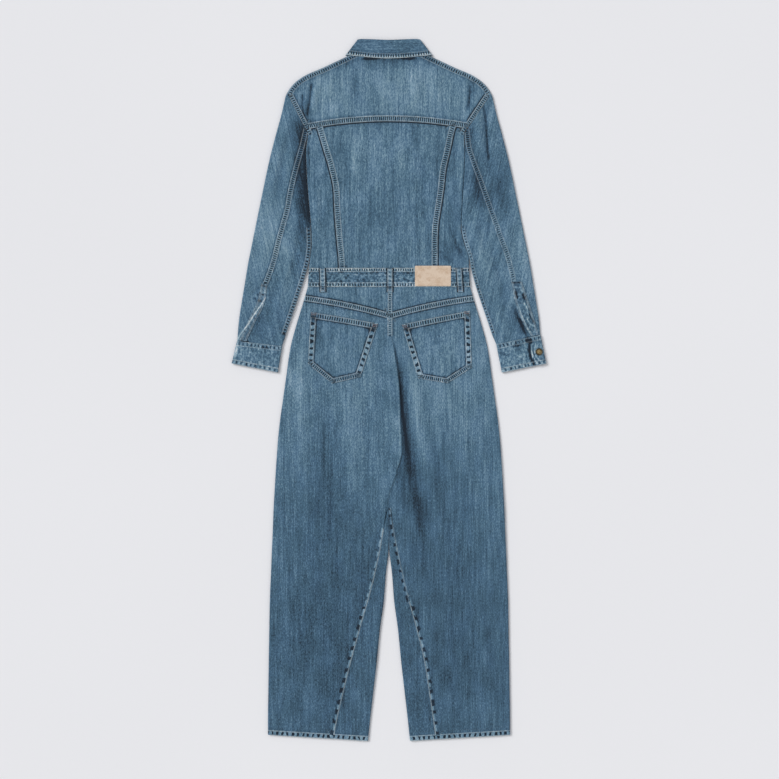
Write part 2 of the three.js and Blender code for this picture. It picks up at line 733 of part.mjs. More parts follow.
// Down the legs: the outer fold, the seat seam or inseam of each leg, and the inner fold.
const legs = [
  { y: 129, half: 202, left: 2, right: 2 },
  { y: 97, half: 210.5, left: 12, right: 12 },
  { y: 72, half: 215, left: 19, right: 19 },
  { y: 35, half: 220, left: 26, right: 26 },
  { y: -15, half: 227, left: 30, right: 30 },
  { y: -63, half: 233.8, left: 34, right: 34 },
  { y: -105, half: 238.4, left: 34, right: 34 },
  { y: -140, half: 241, left: 27, right: 27 },
  { y: -186, half: 244, left: 14, right: 14 },
  { y: -220, half: 246, left: 2, right: 2 },
  { y: -240, half: 247.2, left: -1, right: -1 },
  { y: -256, half: 248, left: -4.2, right: 4.2, fold: 0.4 },
  { y: -300, half: 249.7, left: -12, right: 9, fold: 0.4 },
  { y: -338, half: 251.4, left: -18.5, right: 16.5, fold: 0.4 },
  { y: -398, half: 253.8, left: -31.5, right: 29.5, fold: 6 },
  { y: -451, half: 256, left: -45, right: 42.5, fold: 10.8 },
  { y: -515, half: 257.2, left: -63.4, right: 60, fold: 19.4 },
  { y: -579, half: 258.3, left: -81, right: 75.7, fold: 25.6 },
  { y: -651, half: 259.3, left: -99, right: 87, fold: 33.8 },
  { y: -705, half: 260, left: -111.5, right: 95, fold: 40.5, drop: 4 },
  { y: -740.6, half: 260, left: -118.5, right: 100, fold: 45, drop: 13 },
];

// The height of a leg's row at an x: the hem falls towards the inner fold.
function legHeight(row, x) {
  return row.y - (row.drop || 0) * clamp01((row.half - Math.abs(x)) / (row.half - (row.fold || 0)));
}

const BACK_SHARES = [0.16, 0.34, 0.52, 0.68, 0.8, 0.91, 1]; // columns from the side fold to the seat seam

function hipYoke(side) {
  const inner = CENTRE_BACK + (side.sign * SEAM) / 2;
  const rows = HIP_OUT.map(({ y, half }, i) => {
    const edge = [side.sign * half, y];
    const outward = [side.sign, 0];
    const foot = foldFoot(edge, outward, bodyLift);
    const at = (x) => [x, i ? hipSeam(x) + SEAM / 2 : y];
    const round = [...FOLD_STEPS].reverse().map((angle) => turned(at(edge[0]), outward, angle, bodyLift));
    const flat = BACK_SHARES.map((share) => upper(at(mix(foot[0], inner, share))));
    return [...round, ...flat];
  });
  return clothWall(rows);
}

function legBack(side) {
  const outward = [side.sign, 0];
  const row = (edge, at, inner) => {
    const foot = foldFoot(edge, outward, bodyLift);
    const round = [...FOLD_STEPS].reverse().map((angle) => turned(edge, outward, angle, bodyLift));
    return [...round, ...BACK_SHARES.map((share) => upper(at(mix(foot[0], inner, share)), side.sign))];
  };
  const topEdge = side.sign * HIP_OUT[1].half;
  const top = row(
    [topEdge, hipSeam(topEdge) - SEAM / 2],
    (x) => [x, hipSeam(x) - SEAM / 2],
    CENTRE_BACK + (side.sign * SEAM) / 2,
  );
  const rest = legs.map((station) =>
    row(
      [side.sign * station.half, station.y],
      (x) => [x, legHeight(station, x)],
      station[side.name] + (side.sign * SEAM) / 2,
    ),
  );
  return clothWall([top, ...rest]);
}

function legFront(side) {
  const outward = [side.sign, 0];
  const inward = [-side.sign, 0];
  const topEdge = side.sign * HIP_OUT[1].half;
  const hips = [
    { y: HIP_OUT[0].y, half: HIP_OUT[0].half },
    { y: hipSeam(topEdge), half: HIP_OUT[1].half },
  ];
  const rows = [...hips, ...legs].map((station) => {
    const edge = [side.sign * station.half, station.y];
    const foot = foldFoot(edge, outward, bodyLift);
    const round = [...FOLD_STEPS].reverse().map((angle) => turned(edge, outward, -angle, bodyLift));
    if (station.fold === undefined) {
      const flat = frontFlat(side, foot, [side.sign * 0.2, station.y]);
      return [...round, ...flat, ...Array(6).fill(null)];
    }
    const innerEdge = [side.sign * station.fold, legHeight(station, station.fold)];
    const innerFoot = foldFoot(innerEdge, inward, bodyLift);
    const seam = station[side.name] - (side.sign * SEAM) / 2;
    const flat = [0.5, 0.85, 0.93].map((share) => {
      const x = mix(foot[0], innerFoot[0], share);
      return lower([x, legHeight(station, x)], bodyLift);
    });
    const wrap = [...FULL_FOLD].reverse().map((angle) => turned(innerEdge, inward, angle, bodyLift));
    const end = upper([seam, legHeight(station, seam)]);
    const middle = mix(innerFoot[0], seam, 0.5);
    return [...round, ...flat, ...wrap, upper([middle, legHeight(station, middle)]), end];
  });
  return clothWall(rows);
}

// ---- Back pockets: five-sided, laid on the legs ----
const pockets = {
  left: [
    { top: [-167.7, 167.7], foot: [-174, 56] },
    { top: [-95, 156], foot: [-122.6, 14] },
    { top: [-23.7, 143], foot: [-61.3, 28] },
  ],
  right: [
    { top: [27.5, 141], foot: [62.8, 25] },
    { top: [100, 156.5], foot: [125.3, 14.4] },
    { top: [173.5, 170.7], foot: [177.4, 48] },
  ],
};
const POCKET_ROWS = [0, 0.12, 0.55, 1]; // its mouth, its hem, its middle and its foot

function pocket(side) {
  const raised = STACK + REST + WALL;
  const rows = POCKET_ROWS.map((share) =>
    pockets[side.name].map(({ top, foot }) => {
      const [x, y] = between(top, foot, share);
      return facing(x, y, raised, 1, WALL);
    }),
  );
  return clothWall(rows);
}

// ---- The garment ----
add("collar", collar(), denim(TONES.trim));
add("back_yoke", yoke(), denim(TONES.light));
add("centre_back", centreBack(), denim(TONES.body));
add("waistband", waistband(), denim(TONES.trim));

for (const side of sides) {
  const { name } = side;
  add(`side_back_${name}`, sideBack(side), denim(TONES.dark));
  add(`bodice_front_${name}`, bodiceFront(side), denim(TONES.body));
  add(`sleeve_top_${name}`, sleeveTop(side), denim(TONES.light));
  add(`sleeve_under_${name}`, sleeveUnder(side), denim(TONES.body));
  add(`sleeve_placket_${name}`, placketStrip(side), denim(TONES.trim));
  add(`cuff_${name}`, cuffWall(side), denim(TONES.dark));
  add(`hip_yoke_${name}`, hipYoke(side), denim(TONES.light));
  add(`leg_back_${name}`, legBack(side), denim(TONES.body));
  add(`leg_front_${name}`, legFront(side), denim(TONES.dark));
  add(`back_pocket_${name}`, pocket(side), denim(TONES.light));
}

const placketEnds = [
  [0, BAND_TOP + 0.6],
  [0, 640],
];
const flyEnds = [
  [0, 104],
  [0, BAND_BOTTOM - 0.6],
];
add("front_placket", strip(placketEnds, PLACKET_HALF, PLACKET_LEVEL, PLACKET_WALL), denim(TONES.trim));
add("fly_strip", strip(flyEnds, PLACKET_HALF, PLACKET_LEVEL, PLACKET_WALL), denim(TONES.trim));

backLoops.forEach((loop, i) => add(`belt_loop_${i + 1}`, backLoop(loop), denim(TONES.trim)));
frontLoops.forEach(({ x }, i) => {
  const ends = [
    [x, 210],
    [x, BAND_TOP],
  ];
  add(`belt_loop_${i + 4}`, strip(ends, LOOP_WIDTH / 2, 0, LOOP_WALL), denim(TONES.trim));
});

const patchLine = [
  [94.2, 223],
  [94.2, 266.6],
];
add("back_patch", strip(patchLine, 38.5, BAND_OUTER + REST, WALL), leather);

const FRONT_BUTTONS = 5;
const buttonRow = { from: 626, to: 300 };
for (let i = 0; i < FRONT_BUTTONS; i += 1) {
  addButton(`front_button_${i + 1}`, 0, mix(buttonRow.from, buttonRow.to, i / (FRONT_BUTTONS - 1)), 0);
}
addButton("waist_button", 0, (BAND_TOP + BAND_BOTTOM) / 2, 0, BAND_LIFT - REST);
addButton("cuff_button_left", -324, 80, 0);
addButton("cuff_button_right", 322, 82, CUFF_TOP.right + CUFF_WALL + 2 * REST, 2);

export default garment;
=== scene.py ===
"""A long-sleeved denim jumpsuit laid flat on its front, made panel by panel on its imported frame.

Lengths in the tables are millimetres. "Left" is the wearer's left, at -X, and the back of the garment is up.
"""

import functools
import math

import bpy
import numpy as np
from bpy.props import FloatProperty, FloatVectorProperty, PointerProperty
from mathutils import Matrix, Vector, noise
from mathutils.bvhtree import BVHTree


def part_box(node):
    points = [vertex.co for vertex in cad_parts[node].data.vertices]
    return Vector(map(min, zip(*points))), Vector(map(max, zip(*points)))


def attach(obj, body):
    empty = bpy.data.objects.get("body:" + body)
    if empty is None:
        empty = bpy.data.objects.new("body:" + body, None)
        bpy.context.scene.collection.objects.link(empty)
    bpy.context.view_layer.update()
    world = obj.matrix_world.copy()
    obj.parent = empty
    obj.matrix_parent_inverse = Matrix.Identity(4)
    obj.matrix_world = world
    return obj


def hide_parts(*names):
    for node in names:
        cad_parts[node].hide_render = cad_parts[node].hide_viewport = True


bl_info = {
    "name": "Denim Jumpsuit",
    "version": (1, 0, 0),
    "blender": (4, 5, 0),
    "location": "View3D > Sidebar > Jumpsuit",
    "description": "Makes a denim jumpsuit laid flat: panels, creases, seams, stitching, trims and stage",
    "category": "Object",
}

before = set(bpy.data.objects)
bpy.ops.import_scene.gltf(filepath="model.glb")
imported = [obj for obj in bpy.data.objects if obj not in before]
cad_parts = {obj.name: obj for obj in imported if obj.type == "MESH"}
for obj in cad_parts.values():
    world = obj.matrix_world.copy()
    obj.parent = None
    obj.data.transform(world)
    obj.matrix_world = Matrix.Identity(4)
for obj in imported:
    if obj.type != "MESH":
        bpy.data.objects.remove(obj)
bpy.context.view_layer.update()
MM = 0.001


def span(node):
    """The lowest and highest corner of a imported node, in mm."""
    low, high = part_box(node)
    return np.array(low) / MM, np.array(high) / MM


# ---- Driving dimensions ----
BAND_LOW, BAND_HIGH = span("waistband")
STACK = 6.0  # table to the outer face of the upper layer
WALL = 1.2
SEAM = 0.36  # clearance between two sewn edges
REST = 0.3  # clearance under a piece that lies on another
SHOULDER_WRAP = 9.0  # how far the front reaches over the shoulder
BAND_WALL = 2.0
BAND_LIFT = BAND_LOW[2]
BAND_OUTER = BAND_HIGH[2]
COLLAR_LIFT = 1.5  # the front lies on the collar's points
PLACKET_LIFT = 3.3  # and, in the middle, on the placket and its buttons
PLACKET_CLIMB = (31, 21)  # from where to where, off the middle, the front climbs onto the placket
PLACKET_WALL = 1.0
FRONT_GAP = 0.2  # from the middle to the edge of a front
LOOP_WIDTH = 15.0
LOOP_WALL = 1.4
CUFF_WALL = 1.8
BUTTON_HEIGHT = 1.7
CENTRE_BACK = 2.0
FALL_COLUMNS = 16  # of the collar's fall, from its edge to its fold
TURN_LENGTH = 0.065  # length of collar that a degree of its end's turn counts as
LAP_END = 296.0  # where the right cuff lies flat under its lap
PATCH_CORNER = 1.6
SLEEVE_GRAIN = math.radians(12)
PLACKET_GRAIN = math.radians(20)
COLLAR_CELL = 3.0
FINE_CELL = 2.2  # cells of the small pieces, and of those that lie hidden
LOOP_CELL = 1.8
HIDDEN_LOOP_CELL = 3.0
HIDDEN_CELL = 5.0
SHARP_EDGE = 50  # degrees between two faces, from which their edge is sharp
BUTTON_EDGE = 40
SIGN = {"left": -1, "right": 1}
UP, DOWN = 90.0, -90.0
HALF_FOLD = (8, 45, 90)  # degrees round the upper half of a fold, from mid-height
FULL_FOLD = (90, 45, 0, -45, -90)


# ---- Small sums ----
def mix(a, b, t):
    return a + (b - a) * t


def ramp(low, high, value):
    return np.clip((value - low) / (high - low), 0, 1)


def ease(t):
    return t * t * (3 - 2 * t)


def hill(distance, reach):
    """1 at no distance, falling smoothly to 0 at the reach."""
    return ease(np.clip(1 - np.abs(distance) / reach, 0, 1))


def unit(way):
    return way / np.hypot(*way)


def read(table, column, y):
    """A table's column read at heights; the first column holds the heights, from the top down or up."""
    rows = sorted(table)
    return np.interp(y, [row[0] for row in rows], [row[column] for row in rows])


def glide(at, values, wanted):
    """Values read smoothly between their places, without running past them."""
    at, values = np.asarray(at, float), np.asarray(values, float)
    gap = np.diff(at)
    column = (-1, *[1] * (values.ndim - 1))
    if len(at) == 2:
        return mix(values[0], values[1], ((wanted - at[0]) / gap[0]).reshape(column))
    wide = gap.reshape(column)
    slope = np.diff(values, axis=0) / wide
    before, after = 2 * wide[1:] + wide[:-1], wide[1:] + 2 * wide[:-1]
    with np.errstate(divide="ignore", invalid="ignore"):
        middle = (before + after) / (before / slope[:-1] + after / slope[1:])
    middle = np.where(slope[:-1] * slope[1:] > 0, middle, 0)
    lean = np.concatenate([slope[:1], middle, slope[-1:]])
    k = np.clip(np.searchsorted(at, wanted, side="right") - 1, 0, len(gap) - 1)
    t = ((wanted - at[k]) / gap[k]).reshape(column)
    rise = lean[k] * wide[k] * t * (1 - t) ** 2 - lean[k + 1] * wide[k] * t * t * (1 - t)
    return mix(values[k], values[k + 1], ease(t)) + rise


def cut_up(gaps, cuts):
    """Where a row of gaps starts, and all the places to read when each gap is cut up."""
    at = np.append(0, np.cumsum(gaps))
    parts = [start + gap * np.arange(cut) / cut for start, gap, cut in zip(at, gaps, cuts)]
    return at, np.concatenate([*parts, at[-1:]])


class Line:
    """A line drawn on the cloth. Its left-hand side counts as positive."""

    STEP = 6.0

    def __init__(self, points, smooth=True):
        points = np.array(points, float)
        if smooth and len(points) > 2:
            at = np.append(0, np.cumsum(np.hypot(*np.diff(points, axis=0).T)))
            points = glide(at, points, np.linspace(0, at[-1], max(3, int(at[-1] / self.STEP) + 1)))
        self.points = points
        self.ways = np.diff(points, axis=0)
        self.lengths = np.hypot(*self.ways.T)
        self.starts = np.append(0, np.cumsum(self.lengths))

    @property
    def length(self):
        return self.starts[-1]

    def find(self, x, y):
        """For each point: how far across the line, along it, past its ends, and away from it."""
        ways, lengths = self.ways, self.lengths
        px, py = x[:, None] - self.points[:-1, 0], y[:, None] - self.points[:-1, 1]
        reach = (px * ways[:, 0] + py * ways[:, 1]) / lengths
        held = np.clip(reach, 0, lengths)
        away = np.hypot(px - held * ways[:, 0] / lengths, py - held * ways[:, 1] / lengths)
        best, each = away.argmin(1), np.arange(len(x))
        across = ((ways[:, 0] * py - ways[:, 1] * px) / lengths)[each, best]
        past = np.abs(reach - held)[each, best]
        ends = (best == 0) | (best == len(lengths) - 1)
        return across, self.starts[best] + held[each, best], np.where(ends, past, 0), away[each, best]

    def at(self, along):
        """The point and the direction at a length along the line."""
        k = np.clip(np.searchsorted(self.starts, along, side="right") - 1, 0, len(self.lengths) - 1)
        way = self.ways[k] / self.lengths[k][..., None]
        return self.points[k] + way * (along - self.starts[k])[..., None], way

    def beside(self, offset):
        """The same line, moved to its left."""
        ways = self.ways / self.lengths[:, None]
        lean = np.concatenate([ways[:1], (ways[1:] + ways[:-1]) / 2, ways[-1:]])
        lean /= np.hypot(*lean.T)[:, None]
        return Line(self.points + np.stack([-lean[:, 1], lean[:, 0]], 1) * offset, smooth=False)


def around(line, x, y, reach):
    """Which spots lie in the box round a line, widened by a reach."""
    low, high = line.points.min(0) - reach, line.points.max(0) + reach
    return (x > low[0]) & (x < high[0]) & (y > low[1]) & (y < high[1])


# ---- Outlines ----
# Height, then the bodice's left fold, left and right princess seams, and right fold.
BODICE = (
    (262.3, -172, -101, 98, 172),
    (282, -169.5, -102, 98, 172),
    (314, -166, -105, 98, 162),
    (347, -167, -108, 99, 155),
    (390, -170.5, -111, 105, 157),
    (430, -174, -113, 111, 159.5),
    (475, -177, -122, 116, 162),
    (512, -178, -133, 124.5, 163),
)
UNDERARM = {"left": np.array([-174.0, 550.0]), "right": np.array([161.0, 550.0])}
UNDERARM_PRINCESS = {"left": -144.5, "right": 132.5}
YOKE_PRINCESS = {"left": -149.5, "right": 137.0}
NECK_Y = 716.0
NECKLINE = ((FRONT_GAP, 652), (34, 663), (58, 686))  # the front neckline of one side, away from the middle
SHOULDER = ((221.5, 632), (217, 641), (204, 658), (180.6, 675), (142, 692), (105, 709.5), (73.2, 724.2))


def yoke_seam(x):
    """The height of the yoke's seam."""
    return 586.5 - 0.00055 * x * x


SHOULDER_LINES = {side: Line([(sign * x, y) for x, y in SHOULDER]) for side, sign in SIGN.items()}


def shoulder(side, share, inset=0.0):
    """A point of the shoulder's fold and the way it faces, from the armhole up to the neck."""
    line = SHOULDER_LINES[side]
    shares = np.array([max(0, share - 0.04), share, min(1, share + 0.04)])
    before, point, after = line.at(shares * line.length)[0]
    way = unit(after - before)
    out = np.array([-way[1], way[0]]) * -SIGN[side]
    return point - out * inset, out


ARMHOLE_TOP = {side: shoulder(side, 0, SHOULDER_WRAP)[0] for side in SIGN}


def armhole(side, y):
    foot, top = UNDERARM[side], ARMHOLE_TOP[side]
    return mix(foot, top, (y - foot[1]) / (top[1] - foot[1]))


YOKE_END = {"left": armhole("left", 568.1), "right": armhole("right", 569.6)}

# Rows across each sleeve: its outer fold, its back seam and its inner fold.
SLEEVE = {
    "left": (
        ((-231, 592), (-186.5, 524), (-178.8, 512)),
        ((-243, 548), (-195, 494), (-177.8, 475)),
        ((-254, 506), (-204.5, 458), (-174.8, 430)),
        ((-263, 466), (-211.8, 425), (-171.3, 390)),
        ((-271.5, 425), (-218.4, 388), (-167.8, 347)),
        ((-280, 384), (-228, 353), (-166.8, 314)),
        ((-287.5, 347), (-237.3, 319), (-170.3, 282)),
        ((-295, 310), (-244.6, 288), (-176, 258)),
        ((-303, 270), (-257.3, 248), (-189, 215)),
        ((-309.5, 230), (-267.5, 209), (-202, 176)),
        ((-317, 185), (-283, 172), (-212, 147)),
        ((-322.5, 148), (-299.5, 141), (-221, 120)),
        ((-326, 105.3), (-314, 104), (-229.6, 94.3)),
    ),
    "right": (
        ((231, 592), (171.5, 521), (163.8, 512)),
        ((243, 548), (181, 491.5), (162.8, 475)),
        ((254, 506), (193.8, 457.5), (160.3, 430)),
        ((263, 466), (205.5, 424.8), (157.8, 390)),
        ((271.5, 425), (217.4, 390.7), (155.8, 347)),
        ((280, 384), (229.8, 356.3), (162.8, 314)),
        ((287.5, 347), (241.6, 322.6), (172.8, 282)),
        ((295, 310), (253.2, 292.4), (177, 258)),
        ((303, 270), (264.2, 251.2), (189, 215)),
        ((309.5, 230), (268, 209), (202, 176)),
        ((317, 185), (278, 171), (212, 147)),
        ((322.5, 148), (290, 139), (221, 120)),
        ((325, 118.3), (306, 114.3), (230.5, 98.3)),
    ),
}
SLEEVE_SEAM_TOP = 559.0
SLEEVE_CLEAR = (0.3, -0.26)  # how far outward and up the sleeve stands clear of the armhole
# Rows across each sleeve's placket: its outer and its inner edge.
SLEEVE_PLACKET = {
    "left": (
        ((-274, 229), (-261, 226)),
        ((-281, 196), (-266.5, 190)),
        ((-301, 152), (-287, 146)),
        ((-321.5, 106.5), (-306, 104.5)),
    ),
    "right": (
        ((285, 233), (262, 232)),
        ((296, 200), (273, 181)),
        ((312, 152), (291, 138)),
        ((321, 119), (305, 115.6)),
    ),
}
# Each cuff's outer and inner corners, at its top and its foot.
CUFF = {
    "left": ((-326.4, 105), (-229.4, 94), (-338, 57), (-238.2, 37.5)),
    "right": ((325.5, 118), (230.3, 98), (338, 57), (242.5, 37.5)),
}
CUFF_TOP = {"left": 7.0, "right": 6.2}
RIGHT_LAP = (0.795, 0.755, 0.735, 0.752, 0.8)  # where the lap ends, down the cuff, as shares of its width
BACK_LOOPS = ((-143.0, 0.3), (CENTRE_BACK, 0.0), (150.0, 1.0))  # x, and how far each one leans

BAND_HALF = {"top": 172.0, "foot": BAND_HIGH[0]}
HIP_OUT = ((BAND_LOW[1] - REST, 174.5), (197.0, 181.5))  # height, half width: the hip yoke's top and foot


def hip_seam(x):
    """The height of the hip yokes' seam, lowest at the middle of the back."""
    away = np.abs(x - CENTRE_BACK)
    return 159 + 0.29 * away - 0.00045 * away * away


# Height, half width to the outer fold, left and right seat seam or inseam, inner fold, drop of the hem.
LEGS = (
    (129, 202, 2, 2, 0, 0),
    (97, 210.5, 9.5, 9.5, 0, 0),
    (72, 215, 14.5, 14.5, 0, 0),
    (35, 220, 20, 20, 0, 0),
    (-15, 227, 24, 24, 0, 0),
    (-63, 233.8, 24.5, 24.5, 0, 0),
    (-105, 238.4, 27, 27, 0, 0),
    (-140, 241, 27.5, 27.5, 0, 0),
    (-186, 244, 13, 13, 0, 0),
    (-220, 246, 2, 2, 0, 0),
    (-240, 247.2, -1, -1, 0, 0),
    (-254.4, 247.9, -0.6, -0.6, 0, 0),
    (-256, 248, -3.0, 3.0, 0.15, 0),
    (-300, 249.7, -12, 9, 0.15, 0),
    (-338, 251.4, -18.5, 16.5, 0.6, 0),
    (-398, 253.8, -31.5, 29.5, 6.8, 0),
    (-451, 256, -45, 42.5, 10.8, 0),
    (-515, 257.2, -63.4, 60, 19.4, 0),
    (-579, 258.3, -81, 75.7, 25.6, 0),
    (-651, 259.3, -99, 87, 33.8, 0),
    (-705, 260, -111.5, 95, 40.5, 4),
    (-740.6, 260, -118.5, 100, 45, 13),
)
CROTCH = -256
SEAT_SEAM = ((160, 2), (118, 2)) + tuple((row[0], row[2]) for row in LEGS[1:11])

# Each pocket's mouth and foot, from its left edge over its point to its right edge.
POCKET = {
    "left": (((-167.7, 167.7), (-174, 56)), ((-95, 156), (-122.6, 14)), ((-23.7, 143), (-61.3, 28))),
    "right": (((27.5, 141), (62.8, 25)), ((100, 156.5), (125.3, 14.4)), ((173.5, 170.7), (177.4, 48))),
}

# ---- What the lower layer lies on ----
LIFTS = ((565, COLLAR_LIFT), (520, 0), (300, 0), (270, BAND_LIFT), (195, BAND_LIFT), (140, 0))


def body_lift(x, y):
    middle = ramp(*PLACKET_CLIMB, np.abs(x)) * PLACKET_LIFT * ramp(660, 656, y) * ramp(88, 92, y)
    return np.maximum(read(LIFTS, 1, y), middle)


def sleeve_lift(x, y):
    return COLLAR_LIFT * ramp(520, 565, y)


# ---- Creases ----
# By zone: reach to each side, height (a trough is below 0), how far it fades at its two ends, its course.
# The two seats hold the deep seat fold: the left one lies over it, and the right thigh falls away from it.
CREASES = {
    # the deep seat fold: the left seat lies over it, and the right thigh falls away from it
    "seat_left": (
        (46, 2.6, 60, 90, (-4, 130), (9, 97), (14, 72), (19, 35), (23, -15), (24, -63), (26, -105),
         (27, -140), (14, -186), (2, -220), (-2, -262)),
    ),
    "seat_right": (
        (20, -1.7, 50, 120, (9, 105), (15, 78), (24, 20), (30, -36), (36, -92), (46, -155), (55, -218),
         (66, -280), (76, -330)),
        (24, 1.7, 30, 100, (52, 20), (62, -40), (74, -110), (90, -190), (104, -270), (112, -350)),
    ),
    "back": (
        (16, -1.6, 40, 80, (-47, 22), (-48, -60), (-44, -150), (-52, -230)),
        (22, 1.4, 40, 60, (-84, 10), (-86, -70), (-80, -160), (-84, -240)),
        (20, -1.4, 60, 90, (-132, -20), (-134, -120), (-126, -230), (-130, -330)),
        (20, 1.3, 60, 90, (-186, 30), (-190, -90), (-182, -220), (-186, -360)),
        (18, -1.6, 60, 90, (94, -90), (108, -180), (124, -270), (148, -390), (160, -470)),
        (22, 1.4, 50, 90, (150, -40), (166, -140), (178, -260), (186, -380)),
        (16, -1.3, 60, 80, (214, -60), (218, -170), (222, -300)),
        (14, -1.8, 40, 80, (-28, -300), (-38, -360), (-52, -440), (-68, -520)),
        (14, -1.4, 50, 80, (124, -560), (134, -640), (152, -712), (158, -742)),
        (18, 1.3, 60, 70, (-150, -480), (-158, -580), (-162, -690)),
        (16, -1.3, 50, 60, (-198, -420), (-204, -520), (-200, -640)),
        (16, 1.1, 50, 60, (196, -450), (204, -560), (200, -660)),
        # hips, beside the pockets and under the waistband
        (9, -1.3, 10, 18, (-18, 214), (-20, 190), (-14, 172)),
        (9, -1.1, 8, 16, (40, 212), (46, 194), (62, 180)),
        (12, 1.1, 10, 16, (80, 214), (88, 198), (104, 188)),
        (10, -1.1, 10, 20, (-66, 216), (-60, 196), (-62, 178)),
        (14, 1.1, 20, 40, (-176, 120), (-190, 60), (-198, 0)),
        (14, 1.1, 20, 40, (186, 130), (196, 60), (204, -10)),
        # the yoke's tucks at the armholes and drag lines under the collar
        (7, -1.9, 10, 22, (-167.5, 664), (-169, 650), (-172, 626), (-177, 590), (-178, 573)),
        (12, 2, 14, 26, (-157, 656), (-161, 626), (-166, 592)),
        (5, -2.2, 10, 12, (-184, 640), (-185, 622), (-187, 604)),
        (7, -1.9, 10, 22, (173, 668), (173.5, 650), (172, 625), (167.5, 600), (166, 588)),
        (12, 2, 14, 26, (183, 640), (181, 618), (176, 600)),
        (14, 1.3, 20, 30, (-128, 676), (-130, 640), (-126, 606)),
        (14, -1.3, 20, 30, (-74, 690), (-74, 650), (-72, 612)),
        (16, 1.1, 20, 30, (50, 694), (54, 650), (52, 606)),
        (14, 1.1, 20, 30, (96, 684), (104, 650), (106, 606)),
        (12, -0.9, 20, 30, (76, 690), (80, 650), (78, 606)),
        # the bodice's back, and its drag lines towards the waist
        (22, 1.4, 50, 80, (-64, 566), (-62, 500), (-60, 420)),
        (16, -1.3, 40, 60, (-96, 560), (-92, 490), (-88, 400)),
        (18, 1.1, 40, 80, (20, 566), (22, 500), (26, 420)),
        (18, -1.1, 40, 60, (66, 540), (72, 460), (70, 380)),
        (12, 1.4, 20, 30, (90, 430), (98, 400), (96, 366)),
        (11, -1.5, 36, 16, (128, 372), (136, 340), (146, 308), (160, 276)),
        (10, 1.8, 30, 20, (146, 372), (152, 344), (160, 316)),
        (9, -2, 20, 24, (104, 302), (120, 284), (146, 270)),
        (12, -1.6, 20, 40, (118, 540), (112, 500), (108, 460)),
        (14, -1.3, 30, 40, (-142, 470), (-146, 420), (-140, 360)),
        (12, 1.3, 30, 40, (-156, 440), (-158, 380), (-154, 320)),
        (12, -1.1, 20, 30, (-60, 330), (-58, 300), (-60, 268)),
        (14, 1.1, 20, 30, (-20, 330), (-22, 300), (-20, 268)),
        (12, 1.1, 20, 30, (58, 330), (60, 300), (56, 268)),
    ),
    "sleeve_left": (
        (34, -2.9, 30, 40, (-178, 552), (-180, 520), (-178, 475), (-175, 430), (-171, 390), (-167, 347),
         (-165, 318)),
        (11, -2.3, 30, 60, (-196, 372), (-192, 340), (-194, 310), (-202, 270), (-216, 220)),
        (16, 1.6, 40, 60, (-212, 600), (-228, 540), (-244, 470), (-254, 400)),
        (14, -1.4, 40, 60, (-210, 566), (-222, 520), (-236, 450), (-246, 380)),
        (18, 1.4, 40, 50, (-262, 350), (-270, 300), (-284, 240)),
        (14, -1.4, 30, 40, (-232, 262), (-246, 210), (-262, 150), (-268, 112)),
        (14, 1.4, 30, 30, (-206, 300), (-222, 240), (-240, 170), (-250, 112)),
        (8, -1.6, 12, 10, (-280, 148), (-276, 126), (-272, 104)),
        (7, -2, 8, 10, (-270, 222), (-284, 214), (-296, 204)),
    ),
    "sleeve_right": (
        (7, -1.8, 26, 40, (200.5, 622), (204, 600), (207, 576), (210.5, 531), (214, 490), (218, 452)),
        (12, 2.2, 20, 50, (190, 604), (193, 570), (196, 530), (200, 490)),
        (14, 1.4, 30, 50, (222, 600), (226, 550), (232, 490)),
        (28, -1.4, 30, 50, (172, 490), (184, 450), (190, 410), (186, 372)),
        (16, -1.4, 40, 50, (234, 470), (240, 430), (250, 390), (258, 350)),
        (16, 2, 30, 50, (178, 380), (186, 330), (202, 280), (220, 220)),
        (12, -1.8, 40, 50, (214, 330), (228, 280), (244, 220), (256, 160)),
        (9, -2.2, 20, 10, (262, 190), (272, 160), (286, 130), (296, 116)),
        (14, 1.4, 30, 30, (226, 200), (240, 150), (252, 112)),
        (14, 1.4, 40, 40, (280, 340), (292, 270), (304, 200)),
    ),
    "cuff": (
        (7, -1.3, 6, 10, (-262, 90), (-268, 74), (-270, 58)),
        (6, -1.6, 4, 16, (234, 78), (246, 74), (262, 68)),
    ),
    "front": (
        (18, 1.8, 40, 60, (-96, 560), (-92, 470), (-84, 380)),
        (16, 1.6, 40, 60, (102, 540), (96, 460), (92, 370)),
        (16, 1.6, 30, 30, (-136, 350), (-126, 310), (-118, 280)),
        (16, 1.6, 30, 30, (140, 350), (130, 316), (120, 284)),
        (20, 2, 40, 60, (-60, 120), (-84, 40), (-104, -60)),
        (20, 2, 40, 60, (62, 118), (84, 40), (108, -60)),
        (18, 1.8, 60, 80, (-176, 60), (-184, -80), (-178, -220)),
        (18, 1.8, 60, 80, (182, 60), (188, -80), (180, -220)),
        (18, 2, 60, 80, (-108, -160), (-122, -300), (-132, -440)),
        (18, 2, 60, 80, (112, -160), (128, -300), (140, -440)),
        (16, 1.6, 60, 60, (-180, -420), (-186, -540), (-180, -660)),
        (16, 1.6, 60, 60, (176, -440), (184, -560), (178, -680)),
        (14, 1.4, 40, 60, (-96, -520), (-108, -600), (-118, -690)),
        (14, 1.4, 40, 60, (98, -520), (108, -600), (112, -690)),
    ),
    "sleeve_front": (
        (14, 1.8, 40, 60, (-232, 500), (-244, 430), (-252, 350)),
        (14, 1.8, 40, 60, (230, 500), (240, 430), (248, 350)),
        (13, 1.6, 30, 50, (-262, 310), (-276, 250), (-288, 180)),
        (13, 1.6, 30, 50, (256, 310), (270, 250), (282, 180)),
        (12, 1.6, 30, 40, (-206, 330), (-222, 270), (-238, 200)),
        (12, 1.6, 30, 40, (204, 330), (220, 270), (236, 200)),
    ),
}
SHARED_ZONES = {"back": ("seat_left", "seat_right"), "cuff_left": ("cuff",), "cuff_right": ("cuff",)}
